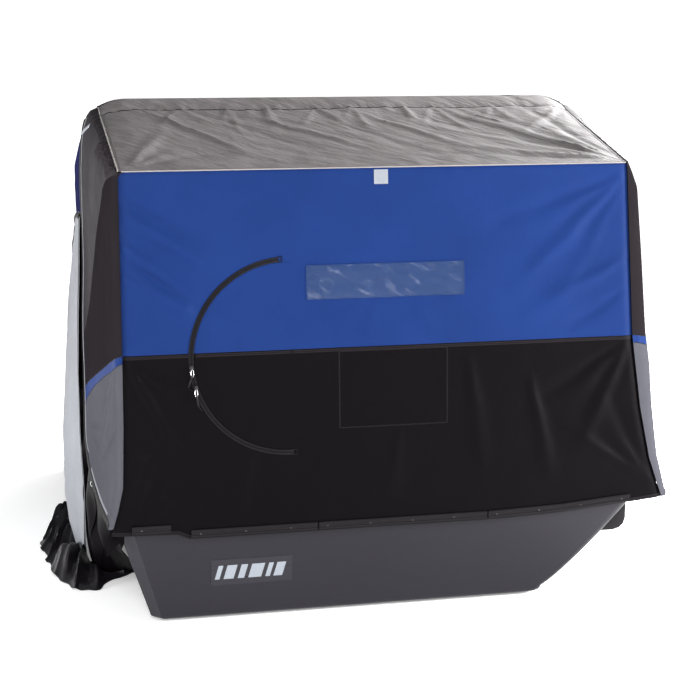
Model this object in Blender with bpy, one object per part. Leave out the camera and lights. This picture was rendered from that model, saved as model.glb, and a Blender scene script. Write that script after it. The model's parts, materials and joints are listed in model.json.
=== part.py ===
"""Flip-over ice fishing shelter on a moulded tow sled.

The sled lies along X with its bow at +X. The tent opens away from it along +Y. Four U-shaped bails turn about one
pivot line at the sled's ends, and flip back over the sled. Metres, +Z up, origin under the middle of the whole.
"""

import math

import bmesh
import bpy
from mathutils import Matrix, Vector

# ---- driving dimensions -------------------------------------------------------------------------------------------
GAP = 0.0003  # kept between touching pieces
NEAR_RIM_Y = -1.1060  # near edge of the sled's rim
SLED_WIDTH = 0.84
SLED_WALL = 0.006
RIM_Z = 0.36
RIM_LIP = 0.014  # how far the lip stands out from the wall
SLED_BOTTOM_Z = 0.010

PIVOT_Y = NEAR_RIM_Y + 0.42
PIVOT_Z = 0.40
LEG_PITCH = 0.0235  # the legs stand side by side on the pivot bolt
FIRST_LEG_X = 0.888

OUTER_TUBE = (0.0110, 0.0093)  # outside and inside radius of a leg
INNER_TUBE = (0.0090, 0.0076)  # outside and inside radius of a hoop
TUBE_SIDES = 12
HOOP_BEND = 0.09
LEG_TAIL = 0.022  # leg length below the pivot
LEG_LENGTH = 0.72
HOOP_START = 0.60
BUTTON_AT = 0.66
BOLT_RADIUS = 0.005

# angle above +Y and length of each bail, and the half width of its top bar
BAILS = {
    "rear": (math.radians(108.4), 1.170, 0.838),
    "middle": (math.radians(75.57), 1.3629, 0.875),
    "front": (math.radians(41.4), 1.360, 0.920),
    "ground": (math.radians(-13.12), 1.7045, 0.955),
}

CLOTH = 0.003
BACK_BOTTOM = (-0.018, 0.315)  # y from the near rim, z
BACK_TOP = (0.033, 1.527)
ROOF_PEAK = (0.7595, 1.735)
SLOPE_FOOT = (1.4525, 1.311)
FRONT_FOOT = (2.0975, 0.036)

FLAP_CENTRE = (-0.319, 0.912)  # x, z
TAPE_RADIUS = 0.322
TAPE_WIDTH = 0.0185
FLAP_RADIUS = 0.3125
CHORD_OFFSET = 0.012

SEAT_X = 0.40
SEAT_Y = NEAR_RIM_Y + 0.41

COLOURS = {
    "sled": (0.075, 0.070, 0.080),
    "runner": (0.02, 0.02, 0.022),
    "steel": (0.10, 0.10, 0.11),
    "zinc": (0.55, 0.56, 0.58),
    "alloy": (0.62, 0.63, 0.65),
    "blue": (0.03, 0.07, 0.30),
    "black": (0.015, 0.012, 0.015),
    "grey": (0.28, 0.27, 0.27),
    "light": (0.45, 0.46, 0.48),
    "clear": (0.12, 0.20, 0.45),
    "seat": (0.03, 0.03, 0.035),
}
METALS = ("steel", "zinc", "alloy")


# ---- small helpers ------------------------------------------------------------------------------------------------
def clear_scene():
    for thing in list(bpy.data.objects):
        bpy.data.objects.remove(thing, do_unlink=True)


def material(name, colour):
    made = bpy.data.materials.new(name)
    made.use_nodes = True
    shader = made.node_tree.nodes["Principled BSDF"]
    shader.inputs["Base Color"].default_value = (*COLOURS[colour], 1.0)
    shader.inputs["Roughness"].default_value = 0.35 if colour in METALS else 0.7
    shader.inputs["Metallic"].default_value = 1.0 if colour in METALS else 0.0
    return made


def add_object(name, mesh, colour, parent=None):
    """Puts mesh, which is in world space, under its parent empty, with its origin on that empty."""
    thing = bpy.data.objects.new(name, mesh)
    bpy.context.scene.collection.objects.link(thing)
    mesh.materials.append(material(name, colour))
    if parent is not None:
        mesh.transform(Matrix.Translation(-parent.location))
        thing.parent = parent
    return thing


def joint_empty(name, place):
    """Marks a joint's axis; the pieces that turn about it are its children."""
    empty = bpy.data.objects.new(name, None)
    empty.location = place
    bpy.context.scene.collection.objects.link(empty)
    return empty


def smooth(share):
    share = min(1.0, max(0.0, share))
    return share * share * (3.0 - 2.0 * share)


def mix(a, b, share):
    return a + (b - a) * share


def finish_mesh(name, build):
    mesh = bpy.data.meshes.new(name)
    bmesh.ops.recalc_face_normals(build, faces=build.faces)
    build.to_mesh(mesh)
    build.free()
    return mesh


def loft(name, rings, closed=False):
    """Skins rings of points, each with as many points, and caps both ends, or joins the last ring to the first."""
    build = bmesh.new()
    rows = [[build.verts.new(point) for point in ring] for ring in rings]
    pairs = list(zip(rows, rows[1:]))
    if closed:
        pairs.append((rows[-1], rows[0]))
    else:
        build.faces.new(rows[0])
        build.faces.new(rows[-1])
    count = len(rows[0])
    for lower, upper in pairs:
        for i in range(count):
            j = (i + 1) % count
            build.faces.new((lower[i], lower[j], upper[j], upper[i]))
    return finish_mesh(name, build)


def prism(name, outline, offset):
    """Extrudes an outline of 3D points by the vector offset."""
    moved = [Vector(point) + Vector(offset) for point in outline]
    return loft(name, [[Vector(point) for point in outline], moved])


def block(name, low, high):
    (x0, y0, z0), (x1, y1, z1) = low, high
    outline = [(x0, y0, z0), (x1, y0, z0), (x1, y1, z0), (x0, y1, z0)]
    return prism(name, outline, (0, 0, z1 - z0))


def cylinder(name, start, end, radius, sides=16):
    axis = (Vector(end) - Vector(start)).normalized()
    across = axis.orthogonal().normalized()
    other = axis.cross(across)
    turns = [2 * math.pi * i / sides for i in range(sides)]
    rings = [
        [Vector(centre) + radius * (math.cos(t) * across + math.sin(t) * other) for t in turns]
        for centre in (start, end)
    ]
    return loft(name, rings)


def tube(name, path, radii, plane_normal):
    """A hollow round tube along a flat path, open at both ends."""
    outer, inner = [], []
    for i, point in enumerate(path):
        ahead = path[min(i + 1, len(path) - 1)] - path[max(i - 1, 0)]
        side = ahead.normalized().cross(plane_normal).normalized()
        for rings, radius in ((outer, radii[0]), (inner, radii[1])):
            ring = []
            for step in range(TUBE_SIDES):
                turn = 2 * math.pi * step / TUBE_SIDES
                ring.append(point + radius * (math.cos(turn) * side + math.sin(turn) * plane_normal))
            rings.append(ring)
    return loft(name, outer + inner[::-1], closed=True)


def combine(thing, mesh, operation):
    """Cuts mesh from thing, or joins it to thing, with a Boolean whose tool stays hidden."""
    tool = bpy.data.objects.new(thing.name + "_tool_" + str(len(thing.modifiers)), mesh)
    bpy.context.scene.collection.objects.link(tool)
    tool.hide_render = True
    tool.display_type = "WIRE"
    modifier = thing.modifiers.new(operation.lower(), "BOOLEAN")
    modifier.operation = operation
    modifier.solver = "EXACT"
    modifier.object = tool


# ---- sled ---------------------------------------------------------------------------------------------------------
def hull_ring(z, stern, bow, inset, corner, bulge):
    """A rounded rectangle at height z, whose bow edge swells forward by bulge in its middle."""
    y_low, y_high = NEAR_RIM_Y + inset, NEAR_RIM_Y + SLED_WIDTH - inset
    middle, half = (y_low + y_high) / 2, (y_high - y_low) / 2
    corners = [
        (bow - corner, y_low + corner, -90),
        (bow - corner, y_high - corner, 0),
        (stern + corner, y_high - corner, 90),
        (stern + corner, y_low + corner, 180),
    ]
    points = []
    for index, (x, y, first) in enumerate(corners):
        for step in range(4):
            turn = math.radians(first + 30 * step)
            points.append([x + corner * math.cos(turn), y + corner * math.sin(turn)])
        if index == 0:
            span = y_high - y_low - 2 * corner
            points += [[bow, y_low + corner + span * share / 6] for share in range(1, 6)]
    for point in points:
        if point[0] > bow - corner - 1e-6:
            point[0] += bulge * (1 - ((point[1] - middle) / half) ** 2)
    return [Vector((x, y, z)) for x, y in points]


def hull_wall(level, depth):
    """The plan of the tub's wall at height level, moved inwards by depth."""
    share = (level - SLED_BOTTOM_Z) / (RIM_Z - SLED_BOTTOM_Z)
    stern = mix(-0.787, -0.899, share)
    bow = 0.555 + 0.365 * share ** 0.78
    inset = mix(0.054, 0.002, share)
    return stern + depth, bow - depth, inset + depth, mix(0.035, 0.050, share), 0.004


def sled_hull():
    levels = (0.028, 0.067, 0.12, 0.18, 0.24, 0.30, RIM_Z - 0.008)
    stern, bow, inset, corner, bulge = hull_wall(SLED_BOTTOM_Z, 0.0)
    rings = [hull_ring(SLED_BOTTOM_Z, stern + 0.014, bow - 0.03, inset + 0.012, corner, bulge)]
    for level in levels:
        stern, bow, inset, corner, bulge = hull_wall(level, 0.0)
        rings.append(hull_ring(level, stern, bow, inset, corner, bulge))
    for level in (RIM_Z - 0.008, RIM_Z):
        stern, bow, inset, corner, bulge = hull_wall(RIM_Z, -RIM_LIP)
        rings.append(hull_ring(level, stern, bow, inset, corner + RIM_LIP, bulge))
    for level in (RIM_Z,) + levels[::-1]:
        stern, bow, inset, corner, bulge = hull_wall(level, SLED_WALL)
        rings.append(hull_ring(level, stern, bow, inset, corner, bulge))
    stern, bow, inset, corner, bulge = hull_wall(SLED_BOTTOM_Z, SLED_WALL)
    floor = hull_ring(SLED_BOTTOM_Z + SLED_WALL, stern + 0.014, bow - 0.03, inset + 0.012, corner, bulge)
    add_object("sled_hull", loft("sled_hull", rings + [floor]), "sled")


def wear_bars():
    """Flat runners screwed under the hull."""
    for name, y in (("near", 0.13), ("far", SLED_WIDTH - 0.13)):
        low = (-0.72, NEAR_RIM_Y + y - 0.03, 0.0)
        high = (0.50, NEAR_RIM_Y + y + 0.03, SLED_BOTTOM_Z - GAP)
        add_object("wear_bar_" + name, block("wear_bar_" + name, low, high), "runner")


def tow_hitch_block():
    """The moulded block across the bow, under its lip, that takes the arms of a tow bar."""
    low_z, high_z = 0.212, 0.318
    front, width = 0.908, 0.68
    section = [
        (hull_wall(low_z, 0.0)[1] + 0.007, low_z), (0.860, low_z), (0.895, 0.228), (front, 0.250), (front, high_z),
        (hull_wall(high_z, 0.0)[1] + 0.007, high_z), (hull_wall(0.28, 0.0)[1] + 0.007, 0.28),
    ]
    y = NEAR_RIM_Y + (SLED_WIDTH - width) / 2
    outline = [(x, y, z) for x, z in section]
    add_object("tow_hitch_block", prism("tow_hitch_block", outline, (0, width, 0)), "runner")


def pivot_brackets():
    """An upright plate on each end of the rim, and the bolt that carries the four legs."""
    foot_z, foot_top = RIM_Z + GAP, RIM_Z + GAP + 0.004
    for name, side, reach in (("left", -1, 0.905), ("right", 1, 0.930)):
        section = [
            (0.850, foot_z), (reach, foot_z), (reach, foot_top), (0.8725, foot_top), (0.8725, 0.424),
            (0.868, 0.424), (0.868, foot_top), (0.850, foot_top),
        ]
        outline = [(side * x, PIVOT_Y - 0.045, z) for x, z in section]
        plate = add_object(
            "pivot_bracket_" + name, prism("pivot_bracket_" + name, outline, (0, 0.09, 0)), "steel"
        )
        start, end = (side * 0.85, PIVOT_Y, PIVOT_Z), (side * 0.89, PIVOT_Y, PIVOT_Z)
        combine(plate, cylinder("bracket_hole", start, end, BOLT_RADIUS + 0.0005), "DIFFERENCE")

        shank = ((side * 0.8600, PIVOT_Y, PIVOT_Z), (side * 0.9735, PIVOT_Y, PIVOT_Z))
        bolt = add_object("pivot_bolt_" + name, cylinder("pivot_bolt_" + name, *shank, BOLT_RADIUS), "zinc")
        head = ((side * 0.9725, PIVOT_Y, PIVOT_Z), (side * 0.9785, PIVOT_Y, PIVOT_Z))
        combine(bolt, cylinder("bolt_head", *head, 0.010, 6), "UNION")
        nut = ((side * 0.8600, PIVOT_Y, PIVOT_Z), (side * 0.8670, PIVOT_Y, PIVOT_Z))
        combine(bolt, cylinder("bolt_nut", *nut, 0.009, 6), "UNION")


def seats():
    """Two swivel seats with folding backs, on two rails laid across the tub."""
    rail_z = RIM_Z + GAP + 0.0125
    for name, y in (("near", 0.20), ("far", 0.62)):
        path = [Vector((-0.898, NEAR_RIM_Y + y, rail_z)), Vector((0.930, NEAR_RIM_Y + y, rail_z))]
        mesh = tube("seat_rail_" + name, path, (0.0125, 0.0108), Vector((0, 0, 1)))
        add_object("seat_rail_" + name, mesh, "steel")
    base_low = rail_z + 0.0125 + GAP
    base_top = base_low + 0.024
    cushion_top = base_top + 0.08
    hinge_y, hinge_z = SEAT_Y - 0.188, cushion_top + 0.012
    for name, x in (("left", -SEAT_X), ("right", SEAT_X)):
        low, high = (x - 0.15, SEAT_Y - 0.235, base_low), (x + 0.15, SEAT_Y + 0.235, base_low + 0.006)
        base = add_object("seat_base_" + name, block("seat_base_" + name, low, high), "steel")
        disc = cylinder("swivel", (x, SEAT_Y, base_low + 0.003), (x, SEAT_Y, base_top - GAP), 0.11, 24)
        combine(base, disc, "UNION")

        swivel = joint_empty("seat_swivel_" + name, (x, SEAT_Y, base_top))
        low, high = (x - 0.22, SEAT_Y - 0.19, base_top), (x + 0.22, SEAT_Y + 0.20, cushion_top)
        add_object("seat_cushion_" + name, block("seat_cushion_" + name, low, high), "seat", swivel)
        fold = joint_empty("seat_fold_" + name, (x, hinge_y, hinge_z))
        low, high = (x - 0.21, hinge_y - 0.05, hinge_z), (x + 0.21, hinge_y, hinge_z + 0.36)
        add_object("seat_back_" + name, block("seat_back_" + name, low, high), "seat", fold)


# ---- bails --------------------------------------------------------------------------------------------------------
def leg_x(index):
    return FIRST_LEG_X + LEG_PITCH * index


class Bail:
    """One U of the frame: its plane through the pivot line, and the line of its left leg in that plane."""

    def __init__(self, index, name):
        angle, self.reach, self.top_x = BAILS[name]
        self.name = name
        self.pivot_x = leg_x(index)
        self.up = Vector((0, math.cos(angle), math.sin(angle)))
        self.normal = Vector((1, 0, 0)).cross(self.up)
        slant = Vector((self.pivot_x - self.top_x, self.reach))
        self.leg_direction = slant.normalized()
        self.leg_length = slant.length

    def place(self, x, reach):
        return Vector((x, PIVOT_Y, PIVOT_Z)) + reach * self.up

    def on_leg(self, side, distance):
        step = self.leg_direction * distance
        return self.place(side * (self.pivot_x - step[0]), step[1])

    def outward(self, side):
        """The direction across a leg, away from the tent's middle."""
        return (side * self.leg_direction[1] * Vector((1, 0, 0)) + self.leg_direction[0] * self.up).normalized()

    def hoop_path(self):
        turn = math.acos(self.leg_direction[0])
        reach = HOOP_BEND * math.tan(turn / 2)
        arc = []
        for step in range(7):
            swept = turn * step / 6
            across, along = HOOP_BEND * (1 - math.cos(swept)), HOOP_BEND * math.sin(swept)
            right = Vector((self.leg_direction[1], -self.leg_direction[0]))
            corner = Vector((-self.top_x, self.reach)) - reach * self.leg_direction
            arc.append(corner + along * self.leg_direction + across * right)
        left = [self.on_leg(-1, HOOP_START)] + [self.place(x, r) for x, r in arc]
        right = [self.place(-x, r) for x, r in arc[::-1]] + [self.on_leg(1, HOOP_START)]
        return left + right


def add_bail(bail, pivot):
    hoop = add_object(
        bail.name + "_hoop", tube(bail.name + "_hoop", bail.hoop_path(), INNER_TUBE, bail.normal), "alloy", pivot
    )
    for label, side in (("left", -1), ("right", 1)):
        path = [bail.on_leg(side, -LEG_TAIL), bail.on_leg(side, LEG_LENGTH)]
        name = bail.name + "_leg_" + label
        leg = add_object(name, tube(name, path, OUTER_TUBE, bail.normal), "alloy", pivot)
        bolt_line = [Vector((side * (bail.pivot_x + step), PIVOT_Y, PIVOT_Z)) for step in (-0.02, 0.02)]
        combine(leg, cylinder(name + "_pivot_hole", *bolt_line, BOLT_RADIUS + 0.0006), "DIFFERENCE")

        centre, out = bail.on_leg(side, BUTTON_AT), bail.outward(side)
        for part in (leg, hoop):
            hole = cylinder(name + "_button_hole", centre + 0.002 * out, centre + 0.02 * out, 0.0046, 10)
            combine(part, hole, "DIFFERENCE")
        press = joint_empty(bail.name + "_press_" + label, centre)
        name = bail.name + "_button_" + label
        pin = cylinder(name, centre + 0.0038 * out, centre + 0.0155 * out, 0.0040, 10)
        add_object(name, pin, "zinc", press)


# ---- fabric -------------------------------------------------------------------------------------------------------
def world_y(y):
    return NEAR_RIM_Y + y


def side_half_width(y, z):
    """Half width of the cloth's outside: narrow along the back wall, swelling over the doors."""
    back = mix(0.858, 0.872, (BACK_TOP[1] - z) / 0.6)
    if z < 0.93:
        back = 0.872 + 0.075 * ((0.93 - z) / 0.615) ** 2
    swell = 0.055 * math.sin(math.pi * min(1.0, max(0.0, z / 1.2)))
    door = 0.985 + swell - 0.085 * smooth((z - 1.0) / 0.65)
    return mix(back, door, smooth(y / 0.75))


def span_panel(name, foot, top, foot_half, top_half, colour, pivot, inward):
    """A flat panel across the tent between two lines, each given by (y, z) and a half width."""
    outline = [
        (-foot_half, world_y(foot[0]), foot[1]), (foot_half, world_y(foot[0]), foot[1]),
        (top_half, world_y(top[0]), top[1]), (-top_half, world_y(top[0]), top[1]),
    ]
    return add_object(name, prism(name, outline, inward), colour, pivot)


def side_panel(name, side, outline, colour, pivot, lift=0.0):
    """A thin panel over an outline of (y, z) points, lying on the tent's swelling side."""
    points = [(side * (side_half_width(y, z) + lift), world_y(y), z) for y, z in outline]
    build = bmesh.new()
    outer = [build.verts.new(point) for point in points]
    inner = [build.verts.new((x - side * CLOTH, y, z)) for x, y, z in points]
    flat = bmesh.new()
    ring = [flat.verts.new((y, z, 0)) for _, y, z in points]
    flat.faces.new(ring)
    flat.verts.index_update()
    bmesh.ops.triangulate(flat, faces=flat.faces)
    for face in flat.faces:
        corners = [vertex.index for vertex in face.verts]
        build.faces.new([outer[i] for i in corners])
        build.faces.new([inner[i] for i in corners[::-1]])
    flat.free()
    for i in range(len(points)):
        j = (i + 1) % len(points)
        build.faces.new((outer[i], outer[j], inner[j], inner[i]))
    return add_object(name, finish_mesh(name, build), colour, pivot)


def on_back(x, z, lift=0.0):
    """A point of the back wall's outside, or lift metres in front of it."""
    share = (z - BACK_BOTTOM[1]) / (BACK_TOP[1] - BACK_BOTTOM[1])
    foot, top = Vector((0, *BACK_BOTTOM)), Vector((0, *BACK_TOP))
    out = Vector((1, 0, 0)).cross(top - foot).normalized()
    point = Vector((x, world_y(mix(BACK_BOTTOM[0], BACK_TOP[0], share)), z))
    return point + lift * out


def back_piece(name, outline, lift, thickness, colour, pivot=None):
    """A thin plate on the back wall over an outline of (x, z) points."""
    points = [on_back(x, z, lift) for x, z in outline]
    step = on_back(0, 1, lift + thickness) - on_back(0, 1, lift)
    return add_object(name, prism(name, points, step), colour, pivot)


def half_moon(radius, chord, steps=20):
    """The outline of the access flap: a straight hinge edge, and an arc on its left."""
    reach = math.acos(chord / radius)
    turns = [mix(reach, 2 * math.pi - reach, step / steps) for step in range(steps + 1)]
    return [(FLAP_CENTRE[0] + radius * math.cos(t), FLAP_CENTRE[1] + radius * math.sin(t)) for t in turns]


def zipper_band(steps=20):
    first, last = math.radians(95), math.radians(272)
    turns = [mix(first, last, step / steps) for step in range(steps + 1)]
    edges = []
    for radius, order in ((TAPE_RADIUS + TAPE_WIDTH / 2, turns), (TAPE_RADIUS - TAPE_WIDTH / 2, turns[::-1])):
        edges += [(FLAP_CENTRE[0] + radius * math.cos(t), FLAP_CENTRE[1] + radius * math.sin(t)) for t in order]
    return edges


def slider_outline(turn):
    """A zip slider with its pull, on the tape at the angle turn."""
    centre = (FLAP_CENTRE[0] + TAPE_RADIUS * math.cos(turn), FLAP_CENTRE[1] + TAPE_RADIUS * math.sin(turn))
    shape = [(-0.007, 0.010), (-0.005, -0.012), (-0.003, -0.014), (-0.003, -0.048)]
    shape += [(-x, z) for x, z in shape[::-1]]
    return [(centre[0] + x, centre[1] + z) for x, z in shape]


def back_wall_outline():
    right = [(0.620, BACK_BOTTOM[1]), (0.985, 0.355), (0.905, 0.60), (0.874, 0.935), (0.858, BACK_TOP[1])]
    left = [(-0.858, BACK_TOP[1]), (-0.872, 0.935), (-0.885, 0.60), (-0.940, 0.335), (-0.620, BACK_BOTTOM[1])]
    return right + left


def add_back(pivot):
    wall = back_piece("back_wall", back_wall_outline(), -CLOTH, CLOTH, "blue", pivot)
    hole = half_moon(FLAP_RADIUS, CHORD_OFFSET)
    step = on_back(0, 1, 0.02) - on_back(0, 1, -0.02)
    combine(wall, prism("flap_hole", [on_back(x, z, -0.02) for x, z in hole], step), "DIFFERENCE")

    hinge = joint_empty("back_flap_hinge", on_back(FLAP_CENTRE[0] + CHORD_OFFSET, FLAP_CENTRE[1]))
    inner = half_moon(FLAP_RADIUS - 0.001, CHORD_OFFSET - 0.001)
    back_piece("back_flap", inner, -CLOTH, CLOTH, "blue", hinge)
    window = [(-0.256, 1.098), (0.280, 1.098), (0.280, 1.210), (-0.256, 1.210)]
    back_piece("back_window", window, GAP, 0.001, "clear", pivot)
    back_piece("zipper_tape", zipper_band(), GAP, 0.0015, "black", pivot)
    centre = joint_empty("slider_track", on_back(*FLAP_CENTRE))
    for name, turn in (("upper", 185.0), ("lower", 197.0)):
        outline = slider_outline(math.radians(turn))
        lift = 0.0025 if name == "upper" else 0.0065
        back_piece("slider_" + name, outline, lift, 0.0035, "zinc", centre)


def add_hem_rails():
    """Grooved strips that clamp the back wall's hem to the sled."""
    rows = [  # the lower edge of each strip, as x and z; the last one climbs with the hem
        [(-0.850, 0.342), (-0.723, 0.342)],
        [(-0.656, 0.320), (-0.232, 0.320)],
        [(-0.227, 0.320), (0.360, 0.320)],
        [(0.365, 0.320), (0.620, 0.328), (0.880, 0.349)],
    ]
    for index, row in enumerate(rows, 1):
        outline = row + [(x, z + 0.026) for x, z in row[::-1]]
        back_piece("hem_rail_" + str(index), outline, GAP, 0.005, "runner")


def add_middle_cloth(pivot):
    top_half = side_half_width(*ROOF_PEAK) - 0.004
    low_half = side_half_width(*BACK_TOP) - 0.004
    foot = (BACK_TOP[0] - 0.004, BACK_TOP[1] + 0.0012)
    span_panel("roof", foot, ROOF_PEAK, low_half, top_half, "grey", pivot, (0, 0, -0.002))


def add_front_cloth(pivot):
    top_half = side_half_width(*ROOF_PEAK) - 0.004
    foot_half = side_half_width(*SLOPE_FOOT) - 0.004
    top = (ROOF_PEAK[0] + 0.0015, ROOF_PEAK[1] - 0.001)
    span_panel("front_slope", SLOPE_FOOT, top, foot_half, top_half, "black", pivot, (0, -0.0005, -CLOTH))


def add_ground_cloth(pivot):
    top_half = side_half_width(*SLOPE_FOOT) - 0.004
    foot_half = side_half_width(*FRONT_FOOT) - 0.004
    top = (SLOPE_FOOT[0] + 0.0035, SLOPE_FOOT[1] - 0.004)
    span_panel("front_wall", FRONT_FOOT, top, foot_half, top_half, "blue", pivot, (0, -CLOTH, -0.0008))


def add_sides(pivot):
    """Each side in four pieces: over the sled, above the door, the door, and beyond the door."""
    rear = [
        (0.000, 0.330), (0.10, 0.235), (0.30, 0.225), (0.43, 0.300), (0.52, 0.62), (0.575, 1.00), (0.68, 1.42),
        (0.745, 1.724), (0.036, 1.522), (0.020, 0.935),
    ]
    top = [(0.750, 1.724), (0.685, 1.425), (0.74, 1.37), (1.295, 1.090), (1.300, 1.390)]
    beyond = [(1.303, 1.390), (1.303, 0.040), (2.090, 0.040), (1.450, 1.300)]
    door = [(0.700, 0.036), (1.297, 0.036), (1.297, 1.110), (0.640, 1.450), (0.570, 1.00), (0.545, 0.60), (0.60, 0.28)]
    for name, side in (("left", -1), ("right", 1)):
        side_panel("side_rear_" + name, side, rear, "black", pivot)
        side_panel("side_top_" + name, side, top, "black", pivot)
        side_panel("side_front_" + name, side, beyond, "light", pivot)
        line = (side * (side_half_width(1.3, 0.5) + 0.008), world_y(1.3), 0.5)
        hinge = joint_empty("side_door_hinge_" + name, line)
        side_panel("side_door_" + name, side, door, "light", hinge, lift=0.008)


def add_skirts(pivot):
    """Snow skirts: low ridges of cloth that lie on the ice outside the walls."""
    height = 0.03
    pulled_out = [
        (-0.955, 0.415), (-1.065, 0.480), (-1.120, 0.630), (-1.152, 0.800), (-1.152, 0.930), (-1.090, 1.040),
        (-1.050, 1.130), (-1.050, 2.235), (-0.996, 2.235), (-0.992, 0.760), (-0.865, 0.590),
    ]
    straight = [(0.996, 0.820), (1.120, 0.830), (1.152, 0.950), (1.152, 2.235), (0.996, 2.235)]
    for name, outline in (("left", pulled_out), ("right", straight)):
        points = [(x, world_y(y), 0.0) for x, y in outline]
        add_object("skirt_" + name, prism("skirt_" + name, points, (0, 0, height)), "black", pivot)
    low, high = (-0.990, world_y(2.105), 0.0), (0.990, world_y(2.235), height)
    add_object("skirt_front", block("skirt_front", low, high), "black", pivot)


def main():
    clear_scene()
    sled_hull()
    wear_bars()
    tow_hitch_block()
    pivot_brackets()
    seats()
    add_hem_rails()
    pivot = joint_empty("bail_pivot", (0, PIVOT_Y, PIVOT_Z))
    for index, name in enumerate(BAILS):
        add_bail(Bail(index, name), pivot)
    add_back(pivot)
    add_middle_cloth(pivot)
    add_front_cloth(pivot)
    add_ground_cloth(pivot)
    add_sides(pivot)
    add_skirts(pivot)


main()
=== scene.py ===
"""Looks of the flip-over ice fishing shelter: cloth, moulded sled, frame, seats, studio.

Depth means the distance from the near edge of the sled's rim along +Y, and height means z. Metres throughout.
"""

import json
import math

import bmesh
import bpy
import numpy as np
from mathutils import Matrix, Vector, geometry, noise


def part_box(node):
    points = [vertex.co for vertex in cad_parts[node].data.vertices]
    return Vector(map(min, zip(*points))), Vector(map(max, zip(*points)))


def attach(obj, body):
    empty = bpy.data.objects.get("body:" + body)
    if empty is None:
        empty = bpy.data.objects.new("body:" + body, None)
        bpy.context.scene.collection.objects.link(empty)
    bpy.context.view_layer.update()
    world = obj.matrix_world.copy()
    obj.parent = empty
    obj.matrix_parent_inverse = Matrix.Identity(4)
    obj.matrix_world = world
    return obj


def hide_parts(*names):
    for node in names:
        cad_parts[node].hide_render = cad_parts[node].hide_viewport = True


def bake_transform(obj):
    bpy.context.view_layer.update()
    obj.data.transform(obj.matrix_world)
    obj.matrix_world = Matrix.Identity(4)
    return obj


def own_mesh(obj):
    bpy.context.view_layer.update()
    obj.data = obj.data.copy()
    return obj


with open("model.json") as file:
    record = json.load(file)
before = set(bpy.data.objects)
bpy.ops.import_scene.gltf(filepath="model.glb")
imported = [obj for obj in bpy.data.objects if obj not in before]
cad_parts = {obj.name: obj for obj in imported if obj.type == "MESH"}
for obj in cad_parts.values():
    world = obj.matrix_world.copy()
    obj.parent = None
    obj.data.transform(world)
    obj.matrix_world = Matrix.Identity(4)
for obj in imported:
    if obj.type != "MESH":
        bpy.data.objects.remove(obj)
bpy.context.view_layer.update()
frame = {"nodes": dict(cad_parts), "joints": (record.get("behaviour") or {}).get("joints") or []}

# ---- places taken from the frame ------------------------------------------------------------------
HULL_LOW, HULL_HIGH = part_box("sled_hull")
LIP = 0.014  # the rim's lip stands this far out from the wall
NEAR_Y = HULL_LOW.y + LIP - 0.002
RIM_Z = HULL_HIGH.z
JOINTS = {joint["name"]: joint for joint in frame["joints"]}
PIVOT = Vector(JOINTS["rear_bail_fold"]["pos_m"])
PIVOT_DEPTH = PIVOT.y - NEAR_Y

# degrees above +Y about the pivot line
ANGLE = {"rear": 108.4, "middle": 75.57, "front": 41.4, "ground": -13.12}
BACK_LOW, BACK_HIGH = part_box("back_wall")
ROOF_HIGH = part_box("roof")[1]

# the tent's long profile as (depth, height): foot and top of the back wall, ridge, foot of the slope and
# foot of the front
BACK_FOOT = (-0.018, BACK_LOW.z)
BACK_TOP = (0.033, BACK_HIGH.z)
RIDGE = (0.7595, ROOF_HIGH.z)
SLOPE_FOOT = (1.4525, 1.311)
FRONT_FOOT = (2.0975, 0.036)
RIDGE_DROOP = 0.030  # how much lower the ridge is at its rounded ends
# along the sides' upper edge
PROFILE = (BACK_TOP, (RIDGE[0], RIDGE[1] - RIDGE_DROOP), SLOPE_FOOT, FRONT_FOOT)

CLOTH = 0.0018
SEAM_HEIGHT = 0.935  # where the back wall turns from black to blue
FLAP_CENTRE = (-0.319, 0.912)  # x, z
TAPE_RADIUS = 0.322
FLAP_RADIUS = 0.3125
CHORD_X = FLAP_CENTRE[0] + 0.012


# ---- small maths ----------------------------------------------------------------------------------
def mix(a, b, share):
    return a + (b - a) * share


def clamp(value, low=0.0, high=1.0):
    return min(high, max(low, value))


def smooth(share):
    share = clamp(share)
    return share * share * (3.0 - 2.0 * share)


def along(table, value):
    """Reads a value from a short list of (key, value) pairs, smoothly between them."""
    if value <= table[0][0]:
        return table[0][1]
    for (k0, v0), (k1, v1) in zip(table, table[1:]):
        if value <= k1:
            return mix(v0, v1, (value - k0) / (k1 - k0))
    return table[-1][1]


def curve(points, per=12):
    """A smooth open line through 2D or 3D points (Catmull-Rom)."""
    points = [Vector(p) for p in points]
    line = []
    for i in range(len(points) - 1):
        b, c = points[i], points[i + 1]
        a = points[i - 1] if i > 0 else 2 * b - c
        d = points[i + 2] if i + 2 < len(points) else 2 * c - b
        for step in range(per):
            t = step / per
            squared = (2 * a - 5 * b + 4 * c - d) * t * t
            cubed = (3 * b - a - 3 * c + d) * t ** 3
            line.append(0.5 * (2 * b + (c - a) * t + squared + cubed))
    return line + [points[-1]]


def resample(line, step, closed=False):
    """Points evenly spaced along a line of 2D points."""
    line = [Vector(p) for p in line]
    if closed:
        line = line + [line[0]]
    lengths = [0.0]
    for a, b in zip(line, line[1:]):
        lengths.append(lengths[-1] + (b - a).length)
    count = max(1, round(lengths[-1] / step))
    found, index = [], 0
    for i in range(count + (0 if closed else 1)):
        want = lengths[-1] * i / count
        while index < len(lengths) - 2 and lengths[index + 1] < want:
            index += 1
        span = lengths[index + 1] - lengths[index]
        share = (want - lengths[index]) / span if span > 1e-12 else 0.0
        found.append(line[index].lerp(line[index + 1], clamp(share)))
    return found


def densify(outline, step):
    """Keeps an outline's own corners and adds points between them."""
    dense = []
    for a, b in zip(outline, outline[1:] + outline[:1]):
        a, b = Vector(a), Vector(b)
        parts = max(1, round((b - a).length / step))
        dense += [a.lerp(b, i / parts) for i in range(parts)]
    return dense


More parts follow.
